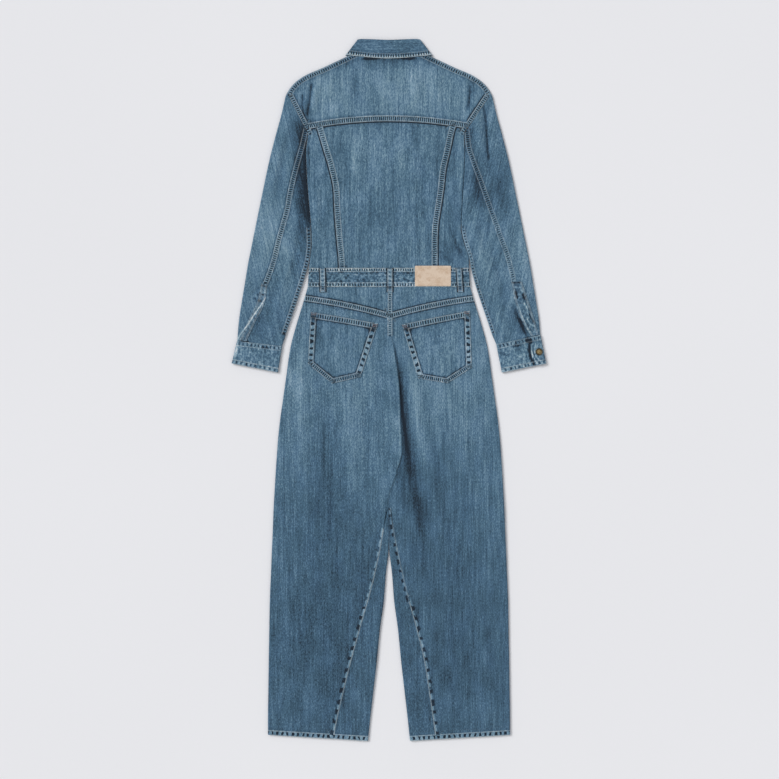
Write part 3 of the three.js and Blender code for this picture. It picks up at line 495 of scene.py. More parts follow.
SWELLS = ((1.3, 62, 190), (0.8, 30, 80), (0.35, 15, 26))  # the soft waves: height, reach across and along
SWELL_SEED = 3.5
FRONT_SWELL = 0.4  # share of the waves' height on the hidden side
CREASE_PAINTED_LIGHT = 0.03  # painted light and shade: how much a raised millimetre of crease lightens the cloth, and a sunk one darkens it
SMOOTH_ZONES = ("loop", "band", "band_front", "strip")  # too stiff to crease
CARRIERS = {"pocket_left": "back", "pocket_right": "back", "placket_left": "sleeve_left",
            "placket_right": "sleeve_right"}  # zones that take the creases of what they lie on


def drawn(table):
    """The table with each row's course as a line."""
    return {zone: [(*(part for part in row if not isinstance(part, tuple)),
                    Line([part for part in row if isinstance(part, tuple)])) for row in rows]
            for zone, rows in table.items()}


CREASE_LINES = drawn(CREASES)


def swell(x, y, seed):
    """Soft, uneven waves of the lying cloth, as a height at each spot."""
    spots = np.stack([x, y], 1).tolist()
    total = np.zeros_like(x)
    for height, wide, long in SWELLS:
        total += height * np.array([noise.noise((a / wide, b / long, seed)) for a, b in spots])
    return total


def seat_side(x, y, where):
    """Keeps each side's creases to its own side of the seat seam."""
    seam = np.interp(y, *zip(*sorted(SEAT_SEAM)))
    if where == "seat_left":
        return x <= seam + 0.5
    return (x > seam - 0.5) | (y < -235) if where == "seat_right" else True


def near_lines(table, zone, x, y):
    """The lines of a table that come near spots of a zone: which spots, and how strongly they hold there."""
    for where in (zone, *SHARED_ZONES.get(zone, ())):
        for reach, *numbers, line in table.get(where, ()):
            near = around(line, x, y, reach) & seat_side(x, y, where)
            if near.any():
                start, end = numbers[1:] or fold_ends(reach, line.length)
                _, along, _, away = line.find(x[near], y[near])
                held = ease(ramp(0, start, along)) * ease(ramp(line.length, line.length - end, along))
                yield near, numbers[0] * hill(away, reach) * held


def fold_ends(reach, length):
    """How far a toned line fades at its ends: a broad one over a long way, a fine one shortly."""
    return (min(60, length * 0.3),) * 2 if reach > 4.5 else (min(7, length * 0.16),) * 2


def creased(x, y, zone):
    """How far the creases raise each spot of a zone."""
    height = np.zeros_like(x)
    for near, rise in near_lines(CREASE_LINES, zone, x, y):
        height[near] += rise
    return height


# ---- Seams ----
class Seam:
    """A sewn line: where it shows, its band's half width, its rows of stitches, and how the wash and painted
    shadow mark it.

    The worn ridge along its two edges, left-hand one first, the dark dashes between, and a painted shadow
    beside it.
    """

    def __init__(self, zone, points, half=4.8, rows=(-4, 4), light=0.3, dash=0.3, shade=0.0, pitch=4.6,
                 rise=0.35, smooth=True, centre=0.0, dyed=0.2):
        line = Line(points, smooth)
        self.line = line.beside(centre) if centre else line
        self.zone, self.half, self.rows, self.pitch, self.rise = zone, half, rows, pitch, rise
        self.dyed = dyed
        lights = light if isinstance(light, tuple) else (light, light)
        shades = shade if isinstance(shade, tuple) else (max(shade, 0), max(-shade, 0))
        self.look = np.array([*lights, dash, *shades])


def garment_seams():
    """Every sewn line of the garment but the pockets' own ones."""
    seams = []

    def sew(zone, points, **look):
        seams.append(Seam(zone, points, **look))

    across_back = np.linspace(YOKE_END["left"][0] + 1, YOKE_END["right"][0] - 1, 13)
    sew("back", [(x, yoke_seam(x)) for x in across_back], centre=-3.2, half=5.4, rows=(-4.4, 4.4),
        shade=(0, 0.9), light=0.34, dash=0.88, pitch=4.4, dyed=0.1)
    for side, sign in SIGN.items():
        left = side == "left"
        # the princess seam, the armhole and the shoulder
        princess = [(row[2 if left else 3], row[0]) for row in BODICE]
        princess += [(UNDERARM_PRINCESS[side], UNDERARM[side][1]), (YOKE_PRINCESS[side], yoke_seam(140) - 9)]
        sew("back", princess, half=5.4, rows=(-4.4, 4.4), shade=-0.7 * sign, light=0.26,
            dash=0.26 if left else 0.44)
        sew("back", [UNDERARM[side], ARMHOLE_TOP[side]], centre=4.5 * sign, half=4.2, rows=(-3.4, 3.4),
            light=0.34, dash=0.92, shade=(1.0, 0.1) if left else (0.4, 0.5), dyed=0.35)
        sew("back", [shoulder(side, share, 6.2)[0] for share in np.linspace(0.03, 0.99, 16)], half=4.2,
            rows=(-3.6, 3.6), light=0.2, dash=0.62, pitch=5.2, dyed=0.3)
        # the sleeve's back seam, its inner fold, its placket and its cuff
        zone = f"sleeve_{side}"
        back = [tuple(armhole(side, SLEEVE_SEAM_TOP))] + [row[1] for row in SLEEVE[side][:9]]
        back.append((-264.5, 230) if left else (267.5, 235))
        if left:
            sew(zone, back, half=4.6, rows=(-3.8, 3.8), light=0.24, dash=0.6, shade=(0.1, 0.16))
        else:
            sew(zone, back[:6], half=4.6, rows=(-3.8, 3.8), light=0.2, dash=0.56, dyed=0.35)
            sew(zone, back[5:], half=4.6, rows=(-3.8, 3.8), light=0.17, dash=0.26, dyed=0.5)
        look = {"half": 4.0, "rows": (-2.8, 2.8), "light": 0.24, "dash": 0.56} if left else {
            "half": 3.0, "rows": (2.6,), "light": 0.14, "dash": 0.34}
        sew(zone, [row[2] for row in SLEEVE[side][4:12]], centre=(4.8 if left else 3.6) * sign, pitch=6.5,
            dyed=0.3, **look)
        for edge, offset in ((0, -2.6 * sign), (1, 2.6 * sign)):
            sew(f"placket_{side}", [row[edge] for row in SLEEVE_PLACKET[side]], centre=offset, half=1.2,
                rows=(0.6,), light=0.2, dash=0.26, pitch=7, dyed=0.4)
        out_top, in_top, out_foot, in_foot = CUFF[side]
        zone = f"cuff_{side}"
        sew(zone, [in_top, out_top], centre=-5.2 * sign, half=4.4, rows=(-3, 3), light=0.16, dash=0.22,
            pitch=8.5, rise=0.5, dyed=0.75)
        sew(zone, [in_foot, out_foot], centre=4.6 * sign, half=4.2, rows=(3 * sign,), light=0.24, dash=0.18,
            pitch=10.5, rise=0.5, dyed=0.55)
        # the inseam and the hem of the leg
        inseam = [(row[2 if left else 3], row[0]) for row in LEGS if row[0] <= CROTCH]
        lower = [spot for spot in inseam if spot[1] < -440]
        upper = [spot for spot in inseam if spot[1] > (-500 if left else -455)]
        falling = {"centre": 4.6 * sign, "half": 4.4, "rows": (-3.6 * sign,), "pitch": 23, "rise": 0.3,
                   "light": (0.42, 0.0) if left else (0.0, 0.4)}
        sew("back", lower, dash=0.26, dyed=0.45, **falling)
        if left:
            sew("back", upper[1:], dash=0.06, dyed=0.5, **falling)
        else:
            sew("back", upper, centre=-3.2, half=3.6, rows=(3.2,), light=(0.24, 0), dash=0.26, pitch=20,
                rise=0.3, dyed=0.55)
        for layer in ("back", "front"):
            sew(layer, [(sign * 259.6, -740.6), (sign * 45.5, -753.4)], centre=-5.0 * sign, half=4.6,
                rows=(4.0 * sign,), light=(0.36, 0.34), dash=0.4, pitch=11, rise=0.5, dyed=0.1)
        seams.extend(pocket_seams(side))
    hips = np.append(np.linspace(-180.5, CENTRE_BACK, 15), np.linspace(CENTRE_BACK, 180.5, 16)[1:])
    sew("back", [(x, hip_seam(x)) for x in hips], light=0.36, dash=0.88, shade=(0.34, 0.28), smooth=False)
    sew("back", [(CENTRE_BACK, 209), (CENTRE_BACK, 164)], half=3.6, rows=(-2.8, 2.8), dash=0.4, shade=0.15)
    sew("back", [(CENTRE_BACK, 154), (CENTRE_BACK, 118)], half=4.2, rows=(-3, 3), dash=0.25, shade=0.2)
    low, high = BAND_LOW[1], BAND_HIGH[1]
    for zone in ("band", "band_front"):
        sew(zone, [(-171, high), (171, high)], centre=-4.0, half=3.6, rows=(-2.6, 2.6), light=(0.56, 0.34),
            dash=0.5, pitch=5.2, rise=0.3, dyed=0.3)
        sew(zone, [(-173, low), (173, low)], centre=4.6, half=4.2, rows=(-3.2, 2.6), light=(0.24, 0.4),
            dash=0.32, pitch=6, rise=0.3, dyed=0.55)
    sew("collar", [(x, 711.7 + 0.00095 * x * x) for x in np.linspace(-92, 92, 15)], centre=5.4, half=4.4,
        rows=(-3.4, 4.2), light=(0.12, 0.62), dash=0.44, pitch=5.4)
    for x in (-16, -10, 16, 10):
        sew("strip", [(x, 646), (x, 268)], half=2.4, rows=(0,), light=0.2, dash=0.2)
    for x, lean in BACK_LOOPS:
        sew("loop", [(x, BAND_HIGH[1] - 1.5), (x + lean * 3.4, 211.5)], half=4.4, rows=(-2.6, 2.6),
            dash=0.05, pitch=9, shade=(0.8, 0.8), dyed=0.15)
    return seams


def pocket_seams(side):
    """The pocket's sewn sides and foot, and the hem of its mouth."""
    (a, e), (b, d), (c, f) = POCKET[side]
    upright = {"centre": 5.6, "half": 5.0, "rows": (-4.2, 4.2), "dash": 0.36}
    foot = {"centre": 5.0, "half": 4.4, "rows": (-3.6, 3.6), "dash": 0.9, "pitch": 4.4}
    mouth = {"centre": 6.6, "half": 5.0, "rows": (-4.6, 4.6), "dash": 0.66, "pitch": 5.2}
    courses = (([a, e], {**upright, "pitch": 13.5}), ([e, d], foot), ([d, f], foot),
               ([f, c], {**upright, "pitch": 13}), ([c, b, a], mouth))
    return [Seam(f"pocket_{side}", points, smooth=False, light=0.32, shade=(0.28, 0.28), **look)
            for points, look in courses]


SEAMS = garment_seams()
SEAM_REACH = 9  # how far beyond its band a seam puckers and shades the cloth
NO_SEAM = (99.0, 0.0, 1.0)  # the place of a spot with no seam near it


def sewn(x, y, zone):
    """What the seams do to each spot of a zone: its rise, and its place in the nearest band and its look."""
    rise, nearest = np.zeros_like(x), np.full(len(x), 1e9)
    place, look = np.tile(NO_SEAM, (len(x), 1)), np.zeros((len(x), 5))
    for seam in SEAMS:
        reach = seam.half + SEAM_REACH
        near = np.flatnonzero(around(seam.line, x, y, reach)) if seam.zone == zone else ()
        if not len(near):
            continue
        across, along, past, away = seam.line.find(x[near], y[near])
        held = ease(ramp(5, 0, past))
        pucker = np.sin(along * 0.66) + 0.7 * np.sin(along * 0.43 + 1.7) + 0.5 * np.sin(along * 1.02 + 0.4)
        body = ease(ramp(seam.half + 2.5, seam.half - 1.5, np.abs(across)))
        rise[near] += seam.rise * held * (body + 0.6 * pucker * hill(across, reach))
        closer = (away / seam.half < nearest[near]) & (away < reach)
        chosen = near[closer]
        nearest[chosen] = (away / seam.half)[closer]
        place[chosen] = np.stack([across, along / seam.pitch, np.full(len(across), seam.half)], 1)[closer]
        look[chosen] = held[closer, None] * seam.look
    return rise, place, look


# ---- Wash ----
# By zone: soft patches of wash fade, and of painted shade in gaps, under the collar and on the lower legs:
# middle, reach across and along, and how much lighter (or darker) the cloth is there.
FADES_AND_PAINTED_SHADE = {
    "back": (
        (-124, 640, 52, 60, 0.1), (78, 655, 66, 62, 0.09), (0, 636, 60, 60, 0.05), (-72, 652, 15, 60, -0.06),
        # painted shade under the collar
        (-100, 706, 26, 16, -0.1), (90, 708, 24, 16, -0.1), (0, 702, 90, 12, -0.08),
        (-58, 520, 44, 66, 0.05), (4, 548, 44, 40, -0.05), (0, 380, 90, 90, -0.03), (0, 572, 170, 12, -0.05),
        (-150, 470, 26, 70, -0.02), (-150, 376, 22, 40, -0.05), (90, 412, 20, 40, -0.06),
        (28, 486, 18, 32, 0.08), (134, 320, 18, 18, 0.08), (-50, -16, 16, 36, 0.08),
        (12, -165, 24, 46, -0.07), (2, -345, 14, 22, 0.1), (62, -345, 14, 28, -0.1),
        (30, -425, 12, 40, 0.08), (-112, 178, 24, 12, -0.09), (146, 400, 26, 110, -0.1),
        (130, 300, 36, 26, -0.08), (-100, 190, 60, 22, 0.02), (-200, 10, 34, 80, 0.08),
        (-74, -30, 34, 80, 0.03), (-120, -24, 16, 30, 0.06), (130, -30, 76, 70, 0.07),
        (56, 10, 14, 90, 0.03), (-6, 56, 18, 70, -0.07), (-136, -190, 44, 150, -0.08),
        (100, -210, 34, 100, -0.08), (172, -240, 26, 140, -0.08), (-60, -130, 36, 80, 0.04),
        # painted shade darkening the lower legs, among wash fades
        (190, -220, 40, 140, 0.03), (0, -560, 400, 330, -0.2), (-50, -590, 34, 130, 0.1),
        (66, -560, 52, 170, 0.07), (-176, -300, 60, 90, -0.03), (0, -752, 300, 13, 0.12),
        (148, 620, 20, 60, 0.07), (-176, 600, 12, 40, -0.08), (166, 202, 26, 16, 0.08),
        (-220, -440, 30, 160, 0.03), (196, -420, 50, 140, 0.02), (210, -700, 40, 40, 0.04),
        (-100, 265, 9, 3, -0.4), (98, 267, 8, 3, -0.35),
    ),
    "sleeve_left": (
        # painted shade in the gap between the sleeve and the bodice, among wash fades
        (-256, 320, 40, 70, 0.1), (-176, 430, 22, 110, -0.18), (-184, 350, 16, 70, -0.1),
        (-190, 555, 18, 36, -0.3), (-262, 140, 46, 60, -0.06), (-268, 470, 18, 120, 0.05),
        (-240, 168, 14, 50, -0.06), (-226, 305, 18, 24, 0.07), (-220, 612, 24, 30, -0.04),
    ),
    "sleeve_right": (
        (236, 432, 28, 58, -0.12), (186, 440, 26, 60, -0.07), (196, 312, 44, 70, 0.03),
        (182, 330, 16, 42, -0.1), (180, 610, 12, 30, 0.1), (285, 330, 26, 90, 0.06),
        (208, 350, 16, 22, -0.09), (211, 478, 10, 24, -0.07), (272, 140, 30, 40, -0.1),
        # painted shade in the armpit
        (174, 550, 16, 30, -0.2), (240, 560, 24, 50, -0.04),
    ),
    "pocket_left": (
        (-100, 80, 50, 40, 0.02), (-112, 150, 26, 14, -0.06), (-161, 153, 7, 6, -0.6),
        (-37, 131, 9, 6, -0.7), (-150, 120, 16, 40, -0.06),
    ),
    "pocket_right": (
        (60, 96, 12, 32, -0.07), (116, 80, 50, 40, 0.05), (40, 130, 9, 6, -0.7), (166, 152, 6, 5, -0.45),
        (96, 120, 12, 40, -0.05),
    ),
    "loop": (
        (-143, 262, 12, 1.6, -0.5), (-142, 219, 12, 4, -0.22), (2, 262, 12, 1.6, -0.5),
        (2, 219, 12, 4, -0.22), (150, 262, 12, 1.6, -0.5), (150, 219, 12, 4, -0.22),
    ),
}
# How much lighter or darker a whole zone is.
ZONE_TONES = {"collar": -0.07, "band": -0.02, "cuff_left": 0.01, "cuff_right": 0.04, "pocket_left": -0.01,
              "placket_left": -0.05, "placket_right": -0.05, "loop": -0.03, "front": -0.02}
# How strongly the doubled cloth of a zone is roped by the wash.
ROPED = {"band": 0.9, "cuff_left": 0.5, "cuff_right": 0.6, "placket_left": 0.45, "placket_right": 0.5,
         "loop": 0.3, "collar": 0.2}
# Soft dark or light lines by zone: mostly painted shade in creases, gaps and under lapped edges, and painted
# highlights on ridges and lap edges, with some fold wash: reach, amount, course.
FOLD_WASH_AND_PAINTED_LIGHT = {
    "seat_right": (
        (4.6, -0.24, (5, 124), (10, 97), (15, 78), (23, 18), (28, -36), (31, -67), (35, -92), (39, -124),
         (44, -155)),
        (15, -0.16, (20, 60), (24, 18), (29, -36), (32, -67), (35, -92), (39, -124), (44, -155), (49, -187),
         (54, -218), (62, -262), (74, -330)),
        (8, -0.08, (22, 18), (27, -36), (31, -67), (36, -110), (44, -155), (50, -196)),
        (20, -0.14, (28, -104), (32, -160), (34, -200), (35, -240), (38, -290)),
        (24, -0.1, (14, 110), (24, 60), (34, 0), (42, -70), (50, -130), (60, -190), (70, -250), (82, -320)),
        (14, 0.06, (36, 110), (46, 50), (52, -10), (58, -60), (66, -120), (78, -180)),
    ),
    "seat_left": (
        (12, -0.1, (6, 60), (10, 10), (14, -40), (14, -80)),
        (2.4, 0.14, (21, -40), (21.5, -63), (24, -100), (24.5, -135), (18, -164)),
    ),
    "back": (
        (14, -0.05, (64, -240), (74, -330), (88, -450)),
        (8, -0.13, (-110, 713), (-92, 713), (-60, 711), (0, 708), (60, 711), (92, 713), (110, 713)),
        (2.2, -0.8, (-64, 714.6), (-50, 712.2), (-36, 711), (0, 710), (36, 710.9), (56, 713), (68, 715)),
        (4.4, -0.36, (-165.5, 662), (-168, 645), (-171.5, 616), (-176.5, 586)),
        (3.4, -0.3, (-186, 638), (-185.6, 609), (-181, 582)),
        (5, -0.3, (173.5, 662), (173.5, 645), (172, 625), (167.3, 592)),
        (7, -0.14, (131, 352), (142, 320), (163, 276)), (5, -0.12, (114, 290), (126, 281), (142, 272)),
        (3, -0.16, (-172, 545), (-173, 512), (-170, 480)),
        (16, 0.06, (156, 520), (154, 470), (150, 420), (148, 380)),
    ),
    "sleeve_left": (
        (8, -0.3, (-178, 548), (-180, 512), (-179, 475), (-176, 430), (-172, 390), (-169, 347), (-168, 330)),
        (20, -0.16, (-188, 520), (-190, 478), (-188, 430), (-183, 390), (-178, 350)),
        (5, -0.14, (-188, 306), (-192, 290), (-197, 262), (-200, 240)),
        (3, 0.4, (-303, 141), (-312, 128), (-321, 117), (-326, 104)),
        (3, -0.35, (-291, 200), (-287, 196), (-283, 190)),
        (2.6, -0.3, (-284, 208), (-280, 202), (-276, 198)), (3, -0.5, (-315, 106), (-308, 104), (-302, 101)),
        (8, -0.16, (-274, 168), (-284, 140), (-290, 112)), (5, -0.3, (-320, 108), (-308, 104), (-296, 100)),
    ),
    "loop": (
        (2, -0.5, (-150, 222), (-135, 222)), (2, -0.5, (-6, 221.5), (10, 221.5)),
        (2, -0.5, (142, 222), (158, 222)),
    ),
    "placket_left": (
        (2, 0.75, (-262, 203), (-272, 186.7), (-286.3, 166.2), (-303.6, 139.4), (-318, 120), (-322, 104)),
        (1.6, 0.3, (-268, 182), (-282, 156), (-296, 132), (-306, 110)),
        (3, -0.35, (-272, 180), (-286, 152), (-298, 130), (-308, 108)),
        (6, 0.22, (-268, 218), (-267, 213), (-268, 206)), (3, -0.5, (-281, 227.5), (-271, 224), (-260, 221)),
        (3.4, -0.5, (-294, 203), (-284, 195), (-272, 188)), (3, -0.4, (-283, 216), (-276, 206), (-266, 203)),
    ),
    "placket_right": (
        (3, -0.45, (262, 230.5), (270, 230), (284, 232)), (3.4, -0.6, (270, 214), (273, 206), (277, 194)),
        (1.6, 0.3, (264, 214), (268, 200), (271, 190)), (6, -0.45, (286, 210), (290, 200), (293, 190)),
        (3, 0.35, (279, 224), (284, 214), (288, 206)),
        (2, 0.35, (276.5, 188), (281, 172), (287, 155), (295, 137), (304, 120)),
        (2.2, 0.45, (288.4, 190), (296.3, 174), (299.5, 158)),
        (2.6, 0.4, (294.7, 158), (301, 144), (316, 134.5)), (3, -0.3, (298, 168), (308, 150), (320, 138)),
        (5, -0.5, (300, 104), (306, 110), (312, 112)),
    ),
    "sleeve_right": (
        (6, -0.3, (266, 190), (271, 172), (280, 150), (292, 130), (300, 112)),
        (9, -0.7, (286, 105), (296, 107), (304, 110), (308, 113)),
        (4.4, -0.36, (276, 158), (283, 145), (289, 128), (297, 113)),
        (4.4, -0.34, (200.5, 622), (204, 600), (207, 586), (210.5, 531), (214, 492)),
        (13, -0.12, (184, 470), (190, 440), (198, 410), (206, 380)),
        (14, -0.12, (184, 500), (186, 460), (188, 420), (186, 380)),
        (2.4, 0.1, (155.5, 352), (158.5, 334), (165, 314), (173, 290), (178, 268), (189, 230)),
    ),
    "cuff_right": (
        (7.5, -0.95, (290, 108), (297, 107), (304, 105), (307, 98)),
        (4.6, -0.85, (306, 106), (302.5, 99), (301, 90), (302, 79), (305.5, 68), (312, 58), (320, 50)),
        (2.4, 0.5, (308.5, 104), (306.5, 97), (306, 90), (307, 80), (309, 70), (314, 62), (321, 54)),
        (2.2, 0.35, (315, 101), (312.5, 92), (312.5, 82), (317, 72), (326, 60)),
        (2.4, -0.25, (311, 102), (309.5, 92), (309.5, 82), (313, 71), (322, 58)),
        (3.5, -0.35, (235, 80), (247, 77), (262, 72)), (4, -0.4, (266, 95), (276, 96), (288, 98)),
    ),
    "cuff_left": (
        (5, 0.34, (-327, 103), (-326, 92), (-330, 78), (-333, 66)),
        (4, -0.35, (-276, 92), (-266, 91), (-254, 88)), (3, -0.25, (-250, 80), (-241, 77), (-231, 74)),
    ),
}
FOLD_WASH_AND_PAINTED_LIGHT_LINES = drawn(FOLD_WASH_AND_PAINTED_LIGHT)


def wash_and_painted_light(x, y, zone):
    """How much lighter or darker than the main blue each spot of a zone is: the wash, with painted shade and
    highlights in folds, gaps and under edges.
    """
    tone = np.full_like(x, ZONE_TONES.get(zone, 0.0))
    for near, amount in near_lines(FOLD_WASH_AND_PAINTED_LIGHT_LINES, zone, x, y):
        tone[near] += amount
    for px, py, wide, long, amount in FADES_AND_PAINTED_SHADE.get(zone, ()):
        tone += amount * np.exp(-(((x - px) / wide) ** 2 + ((y - py) / long) ** 2))
    return tone


# ---- Cloth walls ----
def flat(x, y, way=UP):
    return (x, y, way, 0.0, 0.0)


def bend(point, out, angle):
    return (point[0], point[1], angle, out[0], out[1])


def fold(point, out, angles):
    return [bend(point, out, angle) for angle in angles]


def evened(rows, cell):
    """Control rows of spots, read finely both ways. Rows may stop short; what they lack is left open."""
    width, short = max(map(len, rows)), min(map(len, rows))
    first = next(i for i, row in enumerate(rows) if len(row) == width)
    base = np.array([row[:short] for row in rows], float)
    steps = np.hypot(*np.moveaxis(np.diff(base[:, :, :2], axis=0), 2, 0))
    turns = np.abs(np.diff(base[:, :, 2], axis=0)).mean(1) / 15
    gaps = np.maximum(steps.mean(1), turns * 0.8)
    cuts = [max(1, math.ceil(gap / cell), math.ceil(turn)) for gap, turn in zip(gaps, turns)]
    at, wanted = cut_up(gaps, cuts)

    def down(block, places):
        bends = np.stack([np.interp(wanted, places, block[:, c, k]) for c in range(block.shape[1])
                          for k in (2, 3, 4)], 1)
        bends = bends.reshape(len(wanted), block.shape[1], 3)
        return np.concatenate([glide(places, block[:, :, :2], wanted), bends], 2)

    control = down(base, at)
    if short < width:
        rest = down(np.array([row[short - 1:] for row in rows[first:]], float), at[first:])
        rest[wanted < at[first] - 1e-6] = np.nan
        control = np.concatenate([control, rest[:, 1:]], 1)
    parts = []
    for c in range(control.shape[1] - 1):
        a, b = control[:, c], control[:, c + 1]
        gap = np.nanmax(np.hypot(b[:, 0] - a[:, 0], b[:, 1] - a[:, 1]))
        turn = np.nanmax(np.abs(b[:, 2] - a[:, 2]))
        hidden = np.nanmax(np.maximum(a[:, 2], b[:, 2])) <= DOWN
        count = max(1, math.ceil(gap / (cell * (2.2 if hidden else 1))), math.ceil(turn / 16))
        shares = (np.arange(count) / count)[None, :, None]
        parts.append(mix(a[:, None], b[:, None], shares))
    return np.concatenate([*parts, control[:, -1:]], 1)


def pressed(x, y):
    """How flat a fold is pressed, where the right sleeve laps the bodice's side and the thighs meet."""
    side = np.interp(y, *zip(*[(row[2][1], row[2][0]) for row in SLEEVE["right"][::-1]]))
    sleeve = ease(ramp(335, 365, y)) * ease(ramp(560, 530, y)) * ((x > side - 0.4) & (x < side + 20))
    thighs = ease(ramp(-350, -325, y)) * (np.abs(x) < 4) * (y < -250)
    return np.maximum(sleeve * 1.3, thighs * 0.8)


def walls(grid, foot, top, wall):
    """The outer and inner face of cloth laid over a grid of spots."""
    x, y, angle, out_x, out_y = np.moveaxis(grid, 2, 0)
    turn = np.radians(angle)
    radius = (top - foot) / 2
    inset = radius * (1 - np.cos(turn)) * (1 - pressed(x, y) * (angle > 0))
    outer = np.stack([x - out_x * inset, y - out_y * inset, foot + radius * (1 + np.sin(turn))], 2)
    normal = np.stack([out_x * np.cos(turn), out_y * np.cos(turn), np.sin(turn)], 2)
    normal /= np.linalg.norm(normal, axis=2, keepdims=True)
    return outer, outer - normal * wall


def make_piece(name, points, faces, node, material, sharp=None, facts=None):
    """A mesh that rides on the garment, with facts at its points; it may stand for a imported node."""
    mesh = bpy.data.meshes.new(name)
    mesh.from_pydata(points, [], faces)
    mesh.shade_smooth()
    if sharp:
        mesh.set_sharp_from_angle(angle=math.radians(sharp))
    for key, values in (facts or {}).items():
        values = np.asarray(values, np.float32)
        kind, field = ("FLOAT", "value") if values.ndim == 1 else ("FLOAT_VECTOR", "vector")
        mesh.attributes.new(key, kind, "POINT").data.foreach_set(field, values.ravel())
    mesh.materials.append(material)
    piece = bpy.data.objects.new(name, mesh)
    bpy.context.scene.collection.objects.link(piece)
    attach(piece, "root")
    if node:
        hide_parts(node)
    return piece


SEED_STEP = 37.0  # how far apart two pieces' weaves are taken
MADE = {}  # the faces of each made piece of cloth, which stitches are laid on


def shell(name, outer, inner, up, zones, seed, grain=0.0, material=None):
    """A closed thin wall between two grids of points, with what the denim needs to know at each point.

    Up is where the cloth faces upward, and zones are those of its upper and its lower face.
    """
    rows, columns = outer.shape[:2]
    count = rows * columns
    valid = ~np.isnan(outer[:, :, 0])
    cell = valid[:-1, :-1] & valid[1:, :-1] & valid[:-1, 1:] & valid[1:, 1:]
    number = np.arange(count).reshape(rows, columns)
    quads = np.stack([number[:-1, :-1], number[:-1, 1:], number[1:, 1:], number[1:, :-1]], 2)[cell]
    rim = [(b, a, a + count, b + count) for a, b in boundary(quads)]
    faces = np.concatenate([quads, quads[:, ::-1] + count, np.array(rim)])
    used, faces = np.unique(faces, return_inverse=True)
    faces = faces.reshape(-1, 4)
    points = np.concatenate([outer.reshape(-1, 3), inner.reshape(-1, 3)])[used] * MM
    a, b, c, d = (points[faces[:, i]] for i in range(4))
    volume = (np.cross(b - a, c - a) * a).sum() + (np.cross(c - a, d - a) * a).sum()
    if volume < 0:
        faces = faces[:, ::-1]
    x, y, upward = (np.tile(part.ravel(), 2)[used] for part in (outer[:, :, 0], outer[:, :, 1], up))
    place, look, wash_and_painted_light_tone = np.tile(NO_SEAM, (len(used), 1)), np.zeros((len(used), 5)), np.zeros(len(used))
    for zone, mask in zip(zones, (upward, ~upward)):
        if mask.any() and zone:
            _, place[mask], look[mask] = sewn(x[mask], y[mask], zone)
            # painted light and shade: the wash tone with its painted shade and highlights, and creases
            # painted lighter where raised and darker where sunk
            wash_and_painted_light_tone[mask] = wash_and_painted_light(x[mask], y[mask], zone) + CREASE_PAINTED_LIGHT * creased(x[mask], y[mask], zone)
    cos, sin = math.cos(grain), math.sin(grain)
    through = points[:, 2] / MM * 0.3 + seed * SEED_STEP
    facts = {"cloth": np.stack([x * cos + y * sin, y * cos - x * sin, through], 1), "place": place,
             # worn holds the seam ridges' wear, then the wash tone with its painted light and shade
             "worn": np.stack([look[:, 0], look[:, 1], wash_and_painted_light_tone], 1),
             # pucker holds the painted shadows beside a seam, then its dark dashes
             "pucker": np.stack([look[:, 3], look[:, 4], look[:, 2]], 1),
             "roped": np.full(len(used), ROPED.get(zones[0], 0))}
    MADE[name] = (points, faces, zones)
    return make_piece(f"{name}_panel", points.tolist(), faces.tolist(), name, material or denim(),
                      SHARP_EDGE, facts)


def boundary(quads):
    """The directed edges that only one face has."""
    starts = quads.ravel()
    ends = np.roll(quads, -1, axis=1).ravel()
    size = int(quads.max()) + 1
    forward, backward = starts * size + ends, ends * size + starts
    alone = ~np.isin(forward, backward)
    return list(zip(starts[alone].tolist(), ends[alone].tolist()))


def cut_size(outer):
    """The width, length and area of the cloth, laid out flat, in metres."""
    across = np.linalg.norm(np.diff(outer, axis=1), axis=2)
    down = np.linalg.norm(np.diff(outer, axis=0), axis=2)
    width, length = np.nansum(across, axis=1).max(), np.nansum(down, axis=0).max()
    a, b, c, d = outer[:-1, :-1], outer[:-1, 1:], outer[1:, 1:], outer[1:, :-1]
    area = np.linalg.norm(np.cross(c - a, d - b), axis=2) / 2
    return width * MM, length * MM, float(np.nansum(area)) * MM * MM


def sheet(name, outer, inner, up, zones, rests_on, seed, grain=0.0):
    """Makes a panel of denim and measures its cut."""
    piece = shell(name, outer, inner, up, zones, seed, grain)
    width, length, area = cut_size(outer)
    list(rests_on)


FOOT_RISE = 1.6  # the most that the lower layer lifts off the table


def lay_cloth(name, rows, zones, rests_on=(), foot=body_lift, top=STACK, wall=WALL, grain=0.0, seed=0,
              cell=None):
    """Makes a panel from its control rows. Foot and top are its levels, or functions that give them."""
    cloth = bpy.context.scene.jumpsuit_cloth
    grid = evened(rows, cell or cloth.cell / MM)
    x, y, angle = np.moveaxis(grid, 2, 0)[:3]
    flat_x, flat_y = np.nan_to_num(x.ravel()), np.nan_to_num(y.ravel())
    lows, highs = (part(x, y) if callable(part) else np.full_like(x, part) for part in (foot, top))
    raise_top = raise_foot = 0
    if zones[0]:
        raise_top = surface_rise(flat_x, flat_y, zones[0]).reshape(x.shape) * cloth.relief
        raise_top = np.maximum(raise_top, np.minimum(lows + 2 * wall + REST - highs, 0))
    if zones[1]:
        raise_foot = np.clip(surface_rise(flat_x, flat_y, zones[1]), 0, FOOT_RISE).reshape(x.shape)
        raise_foot *= cloth.relief
        room = highs + np.minimum(raise_top, 0) - 2 * wall - REST - lows
        raise_foot = np.minimum(raise_foot, np.maximum(room, 0))
    outer, inner = walls(grid, lows + raise_foot, highs + raise_top, wall)
    sheet(name, outer, inner, angle > 0, zones, rests_on, seed, grain)


def surface_rise(x, y, zone):
    """How far the cloth of a zone stands from its level: creases and seams together."""
    rise = sewn(x, y, zone)[0]
    if zone not in SMOOTH_ZONES:
        rise += creased(x, y, CARRIERS.get(zone, zone))
        rise += swell(x, y, SWELL_SEED) * (FRONT_SWELL if "front" in zone else 1)
    return rise


